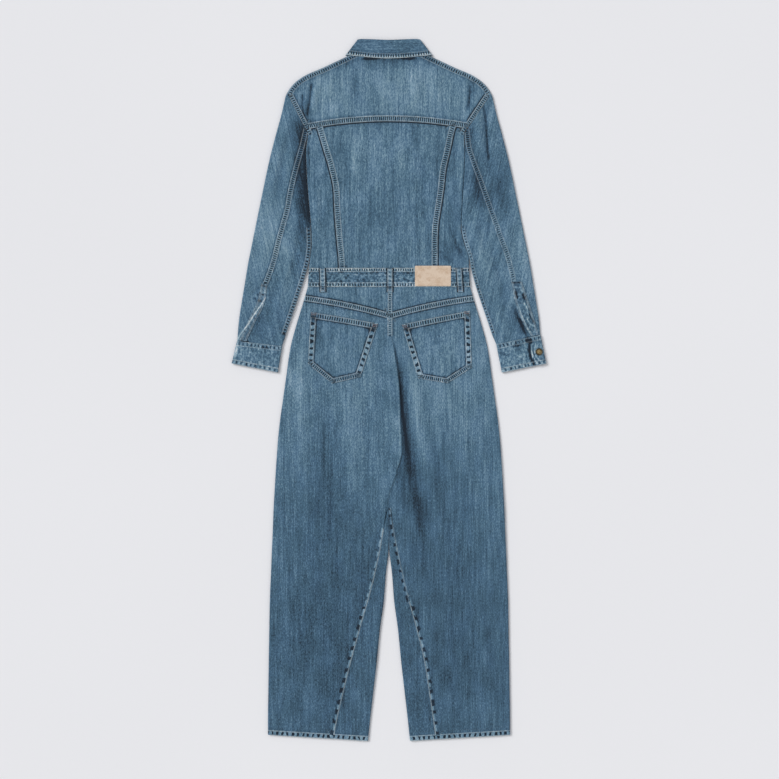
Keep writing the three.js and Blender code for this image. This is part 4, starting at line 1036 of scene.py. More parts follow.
# ---- Shader sums ----
class Wire:
    """A socket of a material; sums on it add Math nodes."""

    def __init__(self, board, socket):
        self.board, self.socket = board, socket

    def _sum(self, operation, *values):
        node = self.board.node("ShaderNodeMath", {"operation": operation}, dict(enumerate(values)))
        return Wire(self.board, node.outputs[0])

    def __add__(self, other):
        return self._sum("ADD", self, other)

    def __sub__(self, other):
        return self._sum("SUBTRACT", self, other)

    def __rsub__(self, other):
        return self._sum("SUBTRACT", other, self)

    def __mul__(self, other):
        return self._sum("MULTIPLY", self, other)

    def __abs__(self):
        return self._sum("ABSOLUTE", self)

    __radd__ = __add__
    __rmul__ = __mul__

    def wave(self):
        """A sine wave of the value in turns, from -1 to 1."""
        return self._sum("SINE", self * (2 * math.pi))

    def top(self, other):
        return self._sum("MAXIMUM", self, other)

    def fit(self, low, high):
        """0 at low and 1 at high, smoothly."""
        node = self.board.node("ShaderNodeMapRange", {"interpolation_type": "SMOOTHSTEP"},
                               {"Value": self, "From Min": low, "From Max": high})
        return Wire(self.board, node.outputs["Result"])


class Board:
    """The nodes of one material."""

    def __init__(self, name):
        self.material = bpy.data.materials.new(name)
        self.material.use_nodes = True
        self.tree = self.material.node_tree
        self.tree.nodes.clear()

    def node(self, kind, settings=None, inputs=None):
        node = self.tree.nodes.new(kind)
        for key, value in (settings or {}).items():
            if key == "stops":
                elements = node.color_ramp.elements
                for i, (position, colour) in enumerate(value):
                    element = elements[i] if i < 2 else elements.new(position)
                    element.position, element.color = position, (*colour, 1)
            else:
                setattr(node, key, value)
        for key, value in (inputs or {}).items():
            if isinstance(value, Wire):
                self.tree.links.new(value.socket, node.inputs[key])
            else:
                node.inputs[key].default_value = value
        return node

    def wire(self, kind, output, settings=None, inputs=None):
        return Wire(self, self.node(kind, settings, inputs).outputs[output])

    def fact(self, name, output="Vector"):
        return self.wire("ShaderNodeAttribute", output,
                         {"attribute_name": name, "attribute_type": "GEOMETRY"})

    def parts(self, vector):
        node = self.node("ShaderNodeSeparateXYZ", None, {0: vector})
        return [Wire(self, node.outputs[i]) for i in range(3)]

    def scaled(self, vector, sizes):
        """The vector in steps of the sizes."""
        return self.wire("ShaderNodeVectorMath", 0, {"operation": "DIVIDE"}, {0: vector, 1: sizes})

    def noise(self, vector, sizes, detail):
        """Soft patches of the sizes; one size serves all three ways."""
        sizes = sizes if isinstance(sizes, tuple) else (sizes,) * 3
        return self.wire("ShaderNodeTexNoise", "Fac", None,
                         {"Vector": self.scaled(vector, sizes), "Scale": 1.0, "Detail": detail})

    def blend(self, share, first, second, kind="MIX"):
        """A share of the second colour over the first."""
        first, second = (part if isinstance(part, Wire) else (*part, 1) for part in (first, second))
        return self.wire("ShaderNodeMix", 2, {"data_type": "RGBA", "blend_type": kind},
                         {0: share, 6: first, 7: second})

    def bump(self, height, distance, strength):
        return self.wire("ShaderNodeBump", 0, None,
                         {"Height": height, "Distance": distance, "Strength": strength})

    def finish(self, **inputs):
        named = {key.replace("_", " ").title().replace("Ior", "IOR"): value for key, value in inputs.items()}
        shader = self.node("ShaderNodeBsdfPrincipled", None, named)
        output = self.node("ShaderNodeOutputMaterial")
        self.tree.links.new(shader.outputs[0], output.inputs[0])
        return self.material


def paint(hex_colour):
    """A web colour as linear red, green and blue."""
    parts = [int(hex_colour[i:i + 2], 16) / 255 for i in (0, 2, 4)]
    return tuple(p / 12.92 if p <= 0.04045 else ((p + 0.055) / 1.055) ** 2.4 for p in parts)


# The cloth's unevenness: size across, along and through in mm, detail, and how far it moves the tone.
WEAVE = {
    "slub": ((1.6, 5, 9), 2, 0.66),
    "streak": ((2.4, 46, 9), 2, 0.4),
    "bands": ((6, 150, 9), 2, 0.3),
    "mottle": ((30, 54, 9), 3, 0.26),
    "grain": ((1.0, 1.3, 3), 1, 0.55),
}


@functools.cache
def denim():
    """Washed denim: warp streaks, mottling, fades with painted shade and highlights, and roped, worn seams
    with painted shadows beside them.
    """
    colours = bpy.context.scene.jumpsuit_colours
    board = Board("washed denim")
    cloth = board.fact("cloth")
    across, cycles, half = board.parts(board.fact("place"))
    # the worn ridges' light, and the wash tone with its painted light and shade
    left_light, right_light, wash_and_painted_light_tone = board.parts(board.fact("worn"))
    # the painted shadows beside a seam, and its dark dashes
    left_shade, right_shade, dash = board.parts(board.fact("pucker"))
    roped = board.fact("roped", "Fac")
    tone, weave = 0.5 + wash_and_painted_light_tone, {}
    for name, (sizes, detail, share) in WEAVE.items():
        weave[name] = board.noise(cloth, sizes, detail)
        tone = tone + (weave[name] - 0.5) * share
    patchy = board.noise(cloth, (6, 6, 9), 1)
    blots = board.noise(cloth, (5, 5, 9), 2)
    tone = tone + (blots - 0.5) * roped * 1.4
    # the worn ridges along a seam's two edges, and the dark dashes between its rows of stitches
    away = abs(across) - half
    ridge = 1 - abs(away).fit(0.2, 1.8)
    leftward = across.fit(-0.5, 0.5)
    light = left_light * leftward + right_light * (1 - leftward)
    inside = 1 - away.fit(-2.2, -0.2)
    rope = (cycles + board.noise(cloth, (14, 14, 9), 1) * 0.9).wave().fit(-0.1, 0.7)
    tone = tone + light * ridge * (patchy * 1.8 - 0.2) + light * inside * (1 - rope) * 0.7
    # the painted shadow beside a seam, and the darker cloth round it
    shade = left_shade * leftward + right_shade * (1 - leftward)
    beyond = 1 - abs(away - 2.2).fit(0.4, 2.2)
    tone = tone - dash * inside * rope * (0.5 + patchy * 1.4) - shade * beyond * (0.4 + patchy)
    near = 1 - away.fit(0.0, 9.0)
    tone = tone - dash * near * (1 - inside) * 0.16 - dash * inside * 0.16
    stops = ((0.08, colours.deep), (0.36, colours.shadow), (0.5, colours.indigo), (0.74, colours.worn),
             (1.0, colours.bare))
    colour = board.wire("ShaderNodeValToRGB", 0, {"stops": stops}, {0: tone})
    colour = board.blend(light * ridge * patchy * 2.0, colour, colours.thread)
    colour = board.blend(weave["mottle"].fit(0.35, 0.7) * 0.6, colour, (0.95, 0.97, 1.06), "MULTIPLY")
    twill_x, twill_y, _ = board.parts(cloth)
    twill = ((twill_x * 0.9 + twill_y * 1.25).wave() * 0.5 + 0.5) * 0.5 + weave["grain"]
    height = twill * 0.6 + weave["slub"] * 0.8 - dash * inside * rope * 2.4 + light * ridge * 2.0
    return board.finish(base_color=colour, roughness=0.86, specular_ior_level=0.25, sheen_weight=0.12,
                        sheen_roughness=0.5, normal=board.bump(height, 0.35 * MM, 0.8))


@functools.cache
def thread():
    """Pale cotton thread, bluer where the wash dyed it and brown in the tacks."""
    board = Board("topstitch thread")
    position = board.wire("ShaderNodeTexCoord", "Object")
    along = board.noise(position, 4 * MM, 1)
    colour = board.blend(along.fit(0.35, 0.65), bpy.context.scene.jumpsuit_colours.thread, paint("7b8f9c"))
    dyed = board.fact("dyed", "Fac")
    colour = board.blend(dyed.top(0), colour, paint("35536a"))
    colour = board.blend((dyed * -1).top(0), colour, paint("86686a"))
    twist = board.noise(position, 0.4 * MM, 1)
    return board.finish(base_color=colour, roughness=0.7, normal=board.bump(twist, 0.2 * MM, 0.6))


def leather():
    """Pale leather with a fine grain and mottling."""
    board = Board("patch leather")
    position = board.wire("ShaderNodeTexCoord", "Object")
    cells = board.wire("ShaderNodeTexVoronoi", "Distance", {"feature": "DISTANCE_TO_EDGE"},
                       {"Vector": board.scaled(position, (1.4 * MM,) * 3), "Scale": 1.0})
    blotch = board.noise(position, (14 * MM, 11 * MM, 14 * MM), 3)
    fine = board.noise(position, 1.6 * MM, 2)
    colour = board.blend(blotch.fit(0.36, 0.64), bpy.context.scene.jumpsuit_colours.leather, paint("c4a990"))
    colour = board.blend(fine.fit(0.42, 0.7) * 0.55, colour, paint("dfcfbb"))
    return board.finish(base_color=colour, roughness=0.5 + fine * 0.2,
                        normal=board.bump(cells.fit(0, 0.12) + fine, 0.3 * MM, 0.5))


@functools.cache
def brass():
    """Aged brass, darker over the button's outer ring than in its middle."""
    board = Board("aged brass")
    tarnish = board.noise(board.wire("ShaderNodeTexCoord", "Object"), 3 * MM, 3)
    colour = board.blend(tarnish.fit(0.4, 0.7), bpy.context.scene.jumpsuit_colours.brass, paint("5e5138"))
    colour = board.blend(board.fact("rim", "Fac").fit(0.4, 0.72) * 0.85, colour, paint("38362f"))
    return board.finish(base_color=colour, metallic=0.9, roughness=0.32 + tarnish * 0.25,
                        normal=board.bump(tarnish, 0.2 * MM, 0.4))


# ---- Panels ----
def half_height(x, y, lift=body_lift):
    return (STACK - float(lift(np.array([float(x)]), np.array([float(y)]))[0])) / 2


def side_fold(side, x, y, face=1):
    """The turned part of a panel at its side fold, and the x where it lies flat again."""
    turned = fold((x, y), (SIGN[side], 0), [face * angle for angle in HALF_FOLD])
    return turned, x - SIGN[side] * half_height(x, y)


def bodice_rows(side):
    """Side fold and princess seam of one side, up the bodice."""
    column_edge, column_seam = (1, 2) if side == "left" else (4, 3)
    return [(row[0], row[column_edge], row[column_seam] + SIGN[side] * SEAM / 2) for row in BODICE]


def side_back(side):
    sign = SIGN[side]
    rows = []
    for y, edge, seam in bodice_rows(side):
        turned, foot = side_fold(side, edge, y)
        rows.append(turned + [flat(mix(foot, seam, 0.5), y), flat(seam, y)])
    for edge, seam, height in (
        (UNDERARM[side][0], UNDERARM_PRINCESS[side], lambda x: UNDERARM[side][1]),
        (YOKE_END[side][0], YOKE_PRINCESS[side], lambda x: yoke_seam(x) - SEAM / 2),
    ):
        seam += sign * SEAM / 2
        xs = [edge, edge - sign, edge - 3 * sign, mix(edge - 3 * sign, seam, 0.5), seam]
        rows.append([flat(x, height(x)) for x in xs])
    return rows


def centre_back():
    ends = [(left, right, lambda x, y=y: y) for y, _, left, right, _ in BODICE]
    ends.append((*UNDERARM_PRINCESS.values(), lambda x: UNDERARM["left"][1]))
    ends.append((*YOKE_PRINCESS.values(), lambda x: yoke_seam(x) - SEAM / 2))
    return [[flat(x, height(x)) for x in np.linspace(left + SEAM / 2, right - SEAM / 2, 8)]
            for left, right, height in ends]


SHOULDER_PLACES = np.append([0, 1], np.arange(2, 7.01, 0.25))  # columns, in steps of the front's own ones
SHOULDER_SHARES = (0, 0.006, 0.02, 0.09, 0.26, 0.5, 0.75, 1)


def shoulder_shares():
    return np.interp(SHOULDER_PLACES, range(8), SHOULDER_SHARES)


def back_yoke():
    left, right = ([shoulder(side, share, SHOULDER_WRAP + SEAM)[0] for share in shoulder_shares()]
                   for side in SIGN)
    neck = [(mix(left[-1][0], right[-1][0], share), NECK_Y) for share in np.linspace(0, 1, 9)[1:-1]]
    top = [*left, *neck, *right[::-1]]
    foot = [mix(YOKE_END["left"][0], YOKE_END["right"][0], (x - top[0][0]) / (top[-1][0] - top[0][0]))
            for x, _ in top]
    return [[flat(mix(across, x, share), mix(yoke_seam(across) + SEAM / 2, y, share))
             for across, (x, y) in zip(foot, top)] for share in np.linspace(0, 1, 6)]


def front_flat(side, foot, inner):
    """The front from near its side to the centre, with a crest where it climbs over the placket."""
    sign = SIGN[side]
    crest = [(sign * x, mix(foot[1], inner[1], 1 - x / abs(foot[0]))) for x in PLACKET_CLIMB]
    near = (mix(foot[0], crest[0][0], 0.5), mix(foot[1], crest[0][1], 0.5))
    return [flat(*point, DOWN) for point in (near, *crest, inner)]


def spread(row):
    """A row of eight spots read at the shoulder's columns."""
    return np.stack([np.interp(SHOULDER_PLACES, range(8), part) for part in np.array(row, float).T], 1)


def bodice_front(side):
    sign = SIGN[side]
    rows = []
    for y, edge, _ in bodice_rows(side):
        turned, foot = side_fold(side, edge, y, -1)
        near = flat(mix(foot, sign * FRONT_GAP, 0.2), y, DOWN)
        rows.append(spread(turned + [near] + front_flat(side, (foot, y), (sign * FRONT_GAP, y))))
    inners = [(sign * FRONT_GAP, 600)] + [(sign * x, y) for x, y in NECKLINE]
    for i, inner in enumerate(inners):
        edge = mix(UNDERARM[side], ARMHOLE_TOP[side], i / (len(inners) - 1))
        inner = np.array(inner, float)
        length = np.hypot(*(inner - edge))
        insets = [mix(edge, inner, inset / length) for inset in (0, 1, 3)]
        near = mix(insets[2], inner, 0.2)
        if i < 2:
            rest = front_flat(side, insets[2], inner)
        else:
            rest = [flat(*mix(insets[2], inner, share), DOWN) for share in (0.5, 0.8, 0.9, 1)]
        rows.append(spread([flat(*point, DOWN) for point in (*insets, near)] + rest))
    ways = [shoulder(side, share) for share in shoulder_shares()]
    for angle in (-90, -45, 0, 45, 90):
        rows.append([bend(point, out, angle) for point, out in ways])
    rows.append([flat(*shoulder(side, share, SHOULDER_WRAP)[0]) for share in shoulder_shares()])
    return rows


def sleeve_hole(side):
    """The sleeve's sewn-in row, just clear of the bodice: outer fold, corner, back seam and inner fold."""
    spots = (SHOULDER_LINES[side].points[0], ARMHOLE_TOP[side], armhole(side, SLEEVE_SEAM_TOP),
             UNDERARM[side])
    return [spot + np.array([SIGN[side], 1]) * SLEEVE_CLEAR for spot in spots]


def sleeve_rows(side):
    return [np.array(row, float) for row in SLEEVE[side]]


def sleeve_top(side):
    hole_out, corner, hole_seam, hole_inner = sleeve_hole(side)
    start = hole_seam + unit(corner - hole_seam) * SEAM / 2
    insets = [mix(hole_inner, corner, inset / np.hypot(*(corner - hole_inner))) for inset in (3, 1, 0)]
    rows = [[flat(*start), flat(*corner), *fold(hole_out, unit(hole_out - corner), FULL_FOLD),
             *[flat(*point, DOWN) for point in (mix(corner, hole_inner, 0.02), *insets)]]]
    for outer, seam, inner in sleeve_rows(side):
        outward, inward = unit(outer - seam), unit(inner - seam)
        start = seam + outward * SEAM / 2
        out_foot = outer - outward * half_height(*outer, sleeve_lift)
        inner_foot = inner - inward * half_height(*inner, sleeve_lift)
        rows.append([flat(*start), flat(*mix(start, out_foot, 0.5)), *fold(outer, outward, FULL_FOLD),
                     flat(*mix(out_foot, inner_foot, 0.5), DOWN), *fold(inner, inward, (-90, -45, -8))])
    return rows


def sleeve_under(side):
    _, _, hole_seam, hole_inner = sleeve_hole(side)
    end = hole_seam + unit(hole_inner - hole_seam) * SEAM / 2
    rows = [[flat(*mix(hole_inner, end, share)) for share in (0, 0.12, 0.35, 0.65, 1)]]
    for _, seam, inner in sleeve_rows(side):
        inward = unit(inner - seam)
        end = seam + inward * SEAM / 2
        foot = inner - inward * half_height(*inner, sleeve_lift)
        rows.append(fold(inner, inward, HALF_FOLD) + [flat(*mix(foot, end, 0.5)), flat(*end)])
    return rows


def cuff_rows(side):
    """Rows down a cuff. The right one laps over itself on top; the left one ends underneath."""
    out_top, in_top, out_foot, in_foot = np.array(CUFF[side], float)
    rows = []
    for share, lap in zip(np.linspace(0, 1, 5), RIGHT_LAP):
        outer, inner = mix(out_top, out_foot, share), mix(in_top, in_foot, share)
        out = unit(outer - inner)

        def at(part, way=UP):
            return flat(*mix(inner, outer, part), way)

        if side == "left":
            rows.append([at(0.856, DOWN), at(0.55, DOWN), at(0.3, DOWN), *fold(inner, -out, FULL_FOLD[::-1]),
                         at(0.5), *fold(outer, out, FULL_FOLD), at(0.864, DOWN)])
        else:
            rows.append([at(0.93), at(0.5), *fold(inner, -out, FULL_FOLD), at(0.5, DOWN),
                         *fold(outer, out, FULL_FOLD[::-1]), at(lap + 0.06), at(lap)])
    return rows


def make_cuff(side):
    """A cuff in its own levels: the right one's outer end climbs onto the lap."""
    name = f"cuff_{side}"
    (out_x, _), (in_x, _) = CUFF[side][:2]
    grid = evened(cuff_rows(side), bpy.context.scene.jumpsuit_cloth.cell / MM)
    x, y, angle = np.moveaxis(grid, 2, 0)[:3]
    rise = sewn(x.ravel(), y.ravel(), name)[0] + creased(x.ravel(), y.ravel(), name)
    rise = np.clip(rise.reshape(x.shape), -0.8, 1.2)
    if side == "left":
        share = np.clip(np.abs(x - in_x) / abs(out_x - in_x), 0, 1)
        foot = (BUTTON_HEIGHT + REST) * ease(ramp(0.3, 0.8, share))
        top = CUFF_TOP[side] + rise
    else:
        foot = 0
        middle = next(c for c in range(grid.shape[1]) if (angle[:, c] <= DOWN + 1).all())
        lapped = np.arange(grid.shape[1]) > middle + 2
        top = np.where(lapped | (x <= LAP_END), rise, 0) + CUFF_TOP[side] + lapped * (CUFF_WALL + REST)
    outer, inner = walls(grid, foot + 0.25 * (angle <= DOWN), top, CUFF_WALL)
    sheet(name, outer, inner, angle > 0, (name, "cuff_front"), [f"sleeve_top_{side}"], 21 + SIGN[side])


# Half of the collar from the middle of the back to the centre front: the way the cloth faces, then its fold
# line, the edge of its fall and the edge of its stand.
COLLAR_HALF = (
    (90, 0, 751.8, 0, 711.7, 0, 716.5),
    (90, 34, 753, 38, 713.8, 35, 716.5),
    (90, 58, 753.6, 70, 717, 58, 716.8),
    *((angle, 64, 753, 90, 718.5, 66.5, 724) for angle in FULL_FOLD),
    (-90, 47, 716, 92, 660, 57.4, 687),
    (-90, 27, 695, 84, 624, 33.6, 664),
    (-90, 6, 686, 66, 598, 0.6, 653.2),
)


def make_collar():
    """The collar: its stand inside its fall, folded along the top, round the neck to its two points."""
    half = np.array(COLLAR_HALF, float)
    mirror = half[1:] * [1, -1, 1, -1, 1, -1, 1]
    stations = np.concatenate([mirror[::-1], half])
    gaps = np.hypot(*np.diff(stations[:, 3:5], axis=0).T) + np.abs(np.diff(stations[:, 0])) * TURN_LENGTH
    at, wanted = cut_up(gaps, [max(1, math.ceil(gap / COLLAR_CELL)) for gap in gaps])
    plans = glide(at, stations[:, 1:], wanted)
    turns = np.radians(np.interp(wanted, at, stations[:, 0]))
    signs = np.where(wanted < at[len(mirror)], -1, 1)
    middle = (STACK + COLLAR_LIFT) / 2
    inner_depth = middle - COLLAR_LIFT - WALL
    fall_in, fall_out = inner_depth + WALL + REST, inner_depth + 2 * WALL + REST
    bend_at = (inner_depth + fall_out) / 2
    outer_rows, inner_rows = [], []
    for plan, turn, sign in zip(plans, turns, signs):
        fold_line, fall, stand = plan[0:2], plan[2:4], plan[4:6]
        inward = unit(unit(fall - fold_line) + unit(stand - fold_line))
        centre = fold_line + inward * (fall_out - bend_at)
        for rows, fall_depth, stand_depth in (
            (outer_rows, fall_out, inner_depth),
            (inner_rows, fall_in, inner_depth + WALL),
        ):
            radius = fall_depth - bend_at
            spots = [(mix(fall, centre, share), fall_depth) for share in np.linspace(0, 1, FALL_COLUMNS)]
            for angle in np.radians(np.linspace(90, -90, 9))[1:-1]:
                in_by = inward * radius * math.cos(angle)
                spots.append((centre - in_by, bend_at + radius * math.sin(angle)))
            spots += [(mix(centre, stand, share), stand_depth) for share in np.linspace(0, 1, 8)]
            rows.append([[x + sign * math.cos(turn) * depth, y, middle + math.sin(turn) * depth]
                         for (x, y), depth in spots])
    outer, inner = np.array(outer_rows), np.array(inner_rows)
    x, y = outer[:, :, 0], outer[:, :, 1]
    fall_part = (np.arange(outer.shape[1]) < FALL_COLUMNS)[None, :] & (np.sin(turns) > 0.99)[:, None]
    rise = np.clip(sewn(x.ravel(), y.ravel(), "collar")[0].reshape(x.shape), -0.1, 0.9) * fall_part
    outer[:, :, 2] += rise
    inner[:, :, 2] += rise
    up = np.broadcast_to((np.sin(turns) > 0.3)[:, None], x.shape)
    sheet("collar", outer, inner, up, ("collar", None), ["back_yoke"], 31, math.pi / 2)


def waistband_rows():
    rows = []
    for share in np.linspace(0, 1, 5):
        y, half = mix(BAND_LOW[1], BAND_HIGH[1], share), mix(BAND_HALF["foot"], BAND_HALF["top"], share)
        rows.append([flat(-FRONT_GAP, y, DOWN), flat(-half / 2, y, DOWN),
                     *fold((-half, y), (-1, 0), FULL_FOLD[::-1]),
                     *[flat(half * s, y) for s in (-0.5, 0, 0.5)],
                     *fold((half, y), (1, 0), FULL_FOLD), flat(half / 2, y, DOWN),
                     flat(FRONT_GAP, y, DOWN)])
    return rows


BACK_SHARES = (0.16, 0.34, 0.52, 0.68, 0.8, 0.91, 1)


def leg_height(row, x):
    """The height of a leg's row at an x: the hem falls towards the inner fold."""
    y, half, _, _, inner_fold, drop = row
    return y - drop * np.clip((half - abs(x)) / (half - inner_fold), 0, 1)


def back_row(side, edge, height, inner):
    turned, foot = side_fold(side, edge, height(edge))
    return turned + [flat(x, height(x)) for x in (mix(foot, inner, share) for share in BACK_SHARES)]


def hip_yoke(side):
    sign = SIGN[side]
    (top, top_half), (_, half) = HIP_OUT
    return [back_row(side, sign * edge, height, CENTRE_BACK + sign * SEAM / 2)
            for edge, height in ((top_half, lambda x: top), (half, lambda x: hip_seam(x) + SEAM / 2))]


def leg_back(side):
    sign = SIGN[side]
    rows = [(HIP_OUT[1][1], lambda x: hip_seam(x) - SEAM / 2, CENTRE_BACK)]
    for row in LEGS:
        rows.append((row[1], functools.partial(leg_height, row), row[2 if sign < 0 else 3]))
    return [back_row(side, sign * half, height, seam + sign * SEAM / 2) for half, height, seam in rows]


def leg_front(side):
    sign = SIGN[side]
    rows = []
    hips = [HIP_OUT[0], (float(hip_seam(sign * HIP_OUT[1][1])), HIP_OUT[1][1])]
    for y, half in hips + [row[:2] for row in LEGS if row[0] > CROTCH]:
        turned, foot = side_fold(side, sign * half, y, -1)
        rows.append(turned + front_flat(side, (foot, y), (sign * FRONT_GAP, y)))
    for row in LEGS:
        y, half, left, right, inner_fold, _ = row
        if y > CROTCH:
            continue
        turned, foot = side_fold(side, sign * half, y, -1)
        inner = (sign * inner_fold, leg_height(row, inner_fold))
        inner_foot = sign * (inner_fold + half_height(*inner))
        seam = (left if sign < 0 else right) - sign * SEAM / 2
        xs = [mix(foot, inner_foot, share) for share in (0.5, 0.85, 0.93)]
        middle = mix(sign * (inner_fold + 1.2) if inner_fold < 0.2 else inner_foot, seam, 0.5)
        rows.append(turned + [flat(x, leg_height(row, x), DOWN) for x in xs]
                    + fold(inner, (-sign, 0), FULL_FOLD[::-1])
                    + [flat(x, leg_height(row, x)) for x in (middle, seam)])
    return rows


def pocket_rows(side):
    return [[flat(*mix(*np.array(edges, float), share)) for edges in POCKET[side]]
            for share in np.linspace(0, 1, 7)]


def strip_rows(low, high, count=4):
    """Rows up a plain strip between two corners."""
    return [[flat(x, y) for x in np.linspace(low[0], high[0], 3)]
            for y in np.linspace(low[1], high[1], count)]


# A belt loop's lower face down its length: sewn flat at the top, lifted, then down on the yoke.
ON_BAND, ON_YOKE = BAND_OUTER + REST, STACK + REST
LOOP_PROFILE = ((262, ON_BAND), (257, ON_BAND), (250, ON_BAND + 1), (233, ON_BAND + 1), (225, ON_BAND),
                (220.5, ON_BAND), (218, ON_YOKE), (210, ON_YOKE))
LOOP_ROWS = (262, 257, 250, 241, 233, 225, 220.5, 218, 210)


def loop_rows(x, lean):
    return [[flat(x - lean * (y - LOOP_ROWS[0]) / LOOP_WIDTH + offset, y)
             for offset in np.linspace(-LOOP_WIDTH / 2, LOOP_WIDTH / 2, 5)] for y in LOOP_ROWS]


def make_patch():
    """The bare leather patch, with rounded corners and a slight cup."""
    low, high = span("back_patch")
    rows = []
    for share in (0, 0.03, 0.07, 0.2, 0.4, 0.6, 0.8, 0.93, 0.97, 1):
        past = max(0, PATCH_CORNER - min(share, 1 - share) * (high[1] - low[1]))
        inset = PATCH_CORNER - math.sqrt(max(0, PATCH_CORNER ** 2 - past ** 2))
        rows.append([flat(x, mix(low[1], high[1], share))
                     for x in np.linspace(low[0] + inset, high[0] - inset, 5)])
    grid = evened(rows, FINE_CELL)
    x, y = np.moveaxis(grid, 2, 0)[:2]
    edge = np.minimum.reduce([x - low[0], high[0] - x, y - low[1], high[1] - y])
    top = high[2] + 0.25 * ease(ramp(0, 3, edge)) + 0.15 * np.sin(x * 0.09) * np.sin(y * 0.12)
    outer, inner = walls(grid, 0, top, WALL)
    shell("back_patch", outer, inner, np.full(x.shape, True), ("patch", None), 0, 0.0, leather())


# ---- Turned pieces and stitches ----
BUTTON_SIDES = 40
# A shank button's rim, groove and dished middle: radius and height as shares of the whole.
BUTTON_PROFILE = ((0, 0), (0.86, 0), (0.96, 0.12), (1, 0.45), (0.985, 0.8), (0.93, 0.97), (0.86, 1),
                  (0.79, 0.96), (0.74, 0.78), (0.68, 0.7), (0.45, 0.74), (0.2, 0.84), (0, 0.88))


def make_button(name):
    """A brass shank button turned on its axis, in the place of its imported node."""
    low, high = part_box(name)
    centre, radius, height = (low + high) / 2, (high.x - low.x) / 2, high.z - low.z
    top_up = low.z > 4 * MM
    vertices, rims = [], []
    for r, h in BUTTON_PROFILE:
        z = low.z + height * (h if top_up else 1 - h)
        for i in range(BUTTON_SIDES if r else 1):
            turn = 2 * math.pi * i / BUTTON_SIDES
            out = radius * r * (1 + (0.012 * math.sin(9 * turn) if 0.3 < r < 0.7 else 0))
            vertices.append((centre.x + out * math.cos(turn), centre.y + out * math.sin(turn), z))
            rims.append(out / radius)
    starts = [0, *range(1, len(vertices), BUTTON_SIDES)]
    faces = []
    for k, (a, b) in enumerate(zip(starts, starts[1:])):
        for i in range(BUTTON_SIDES):
            j = (i + 1) % BUTTON_SIDES
            if k == 0:
                faces.append((a, b + j, b + i))
            elif b == starts[-1]:
                faces.append((a + i, a + j, b))
            else:
                faces.append((a + i, a + j, b + j, b + i))
    if not top_up:
        faces = [face[::-1] for face in faces]
    make_piece(f"{name}_turned", vertices, faces, name, brass(), BUTTON_EDGE, {"rim": rims})


# A thread bead's rings: place along, and share of the thickness.
STITCH_RINGS = ((-1, 0), (-0.62, 0.8), (0, 1), (0.62, 0.8), (1, 0))
STITCH_SIDES = 4
STITCH_HALF = 0.37  # half a stitch's length as a share of the pitch
RAY_START = 50.0 * MM  # stitches are dropped on the cloth from here
RAY_LENGTH = 200.0 * MM
STEEPEST = 0.6  # and left off where it stands steeper


def stitch_mesh(name, places):
    """Joins one thread bead for each (middle, direction, normal, half length, dye) into a mesh."""
    radius = bpy.context.scene.jumpsuit_thread.radius
    middles, ways, normals, halves, dyes = (np.array(part, float) for part in zip(*places))
    offsets = []
    for along, thick in STITCH_RINGS:
        for i in range(STITCH_SIDES if thick else 1):
            turn = 2 * math.pi * (i + 0.5) / STITCH_SIDES
            sink = -0.25 * abs(along)
            offsets.append((along, thick * math.cos(turn), thick * math.sin(turn) * 0.8 + sink))
    along, across, up = np.array(offsets).T[:, None, :, None]
    points = (middles[:, None] + ways[:, None] * along * halves[:, None, None]
              + np.cross(ways, normals)[:, None] * (across * radius) + normals[:, None] * (up * radius))
    rings = [1 + STITCH_SIDES * ring for ring in range(len(STITCH_RINGS) - 1)]
    triangles, quads = [], []
    for i in range(STITCH_SIDES):
        j = (i + 1) % STITCH_SIDES
        triangles += [(0, 1 + i, 1 + j), (rings[-1], rings[-2] + j, rings[-2] + i)]
        quads += [(a + i, b + i, b + j, a + j) for a, b in zip(rings[:-2], rings[1:-1])]
    starts = (np.arange(len(places)) * len(offsets))[:, None, None]
    faces = (starts + triangles).reshape(-1, 3).tolist() + (starts + quads).reshape(-1, 4).tolist()
    make_piece(name, points.reshape(-1, 3).tolist(), faces, None, thread(),
               facts={"dyed": np.repeat(dyes, len(offsets))})


def surfaces():
    """All cloth as one tree for laying stitches, and the zones of each face's piece."""
    points, faces, owners, start = [], [], [], 0
    for name, (vertices, quads, zones) in MADE.items():
        points.append(vertices)
        faces.append(quads + start)
        owners += [name] * len(quads)
        start += len(vertices)
    tree = BVHTree.FromPolygons(np.concatenate(points).tolist(), np.concatenate(faces).tolist())
    return tree, owners


BELOW = ("front", "band_front", "sleeve_front", "strip")


def lay_stitches(tree, owners, lines, zone, dyed):
    """Places for a row of stitches along each line, on the cloth of that zone that shows.

    Dyed is how blue the wash left the thread, or below 0 for the brown thread of a tack.
    """
    pitch = bpy.context.scene.jumpsuit_thread.pitch / MM
    below = zone in BELOW
    down = Vector((0, 0, 1 if below else -1))
    places = []
    for line in lines:
        count = int(line.length / pitch)
        if count < 1:
            continue
        for (x, y), way in zip(*line.at((np.arange(count) + 0.5) * line.length / count)):
            start = Vector((x * MM, y * MM, -down.z * RAY_START))
            hit, normal, index, _ = tree.ray_cast(start, down, RAY_LENGTH)
            if hit is None or abs(normal.z) < STEEPEST or zone != MADE[owners[index]][2][below]:
                continue
            normal = normal if normal.dot(down) < 0 else -normal
            direction = Vector((*way, 0))
            direction = (direction - normal * direction.dot(normal)).normalized()
            places.append((hit[:], direction[:], normal[:], pitch * STITCH_HALF * MM, dyed))
    return places


def tack_lines(x, y, width, height, angle=0.0, count=9):
    """A bar tack: short lines of thread side by side."""
    cos, sin = math.cos(angle), math.sin(angle)
    return [Line([(x + o * cos - s * sin, y + o * sin + s * cos) for s in (-height / 2, height / 2)], False)
            for o in (np.arange(count) / (count - 1) - 0.5) * width]


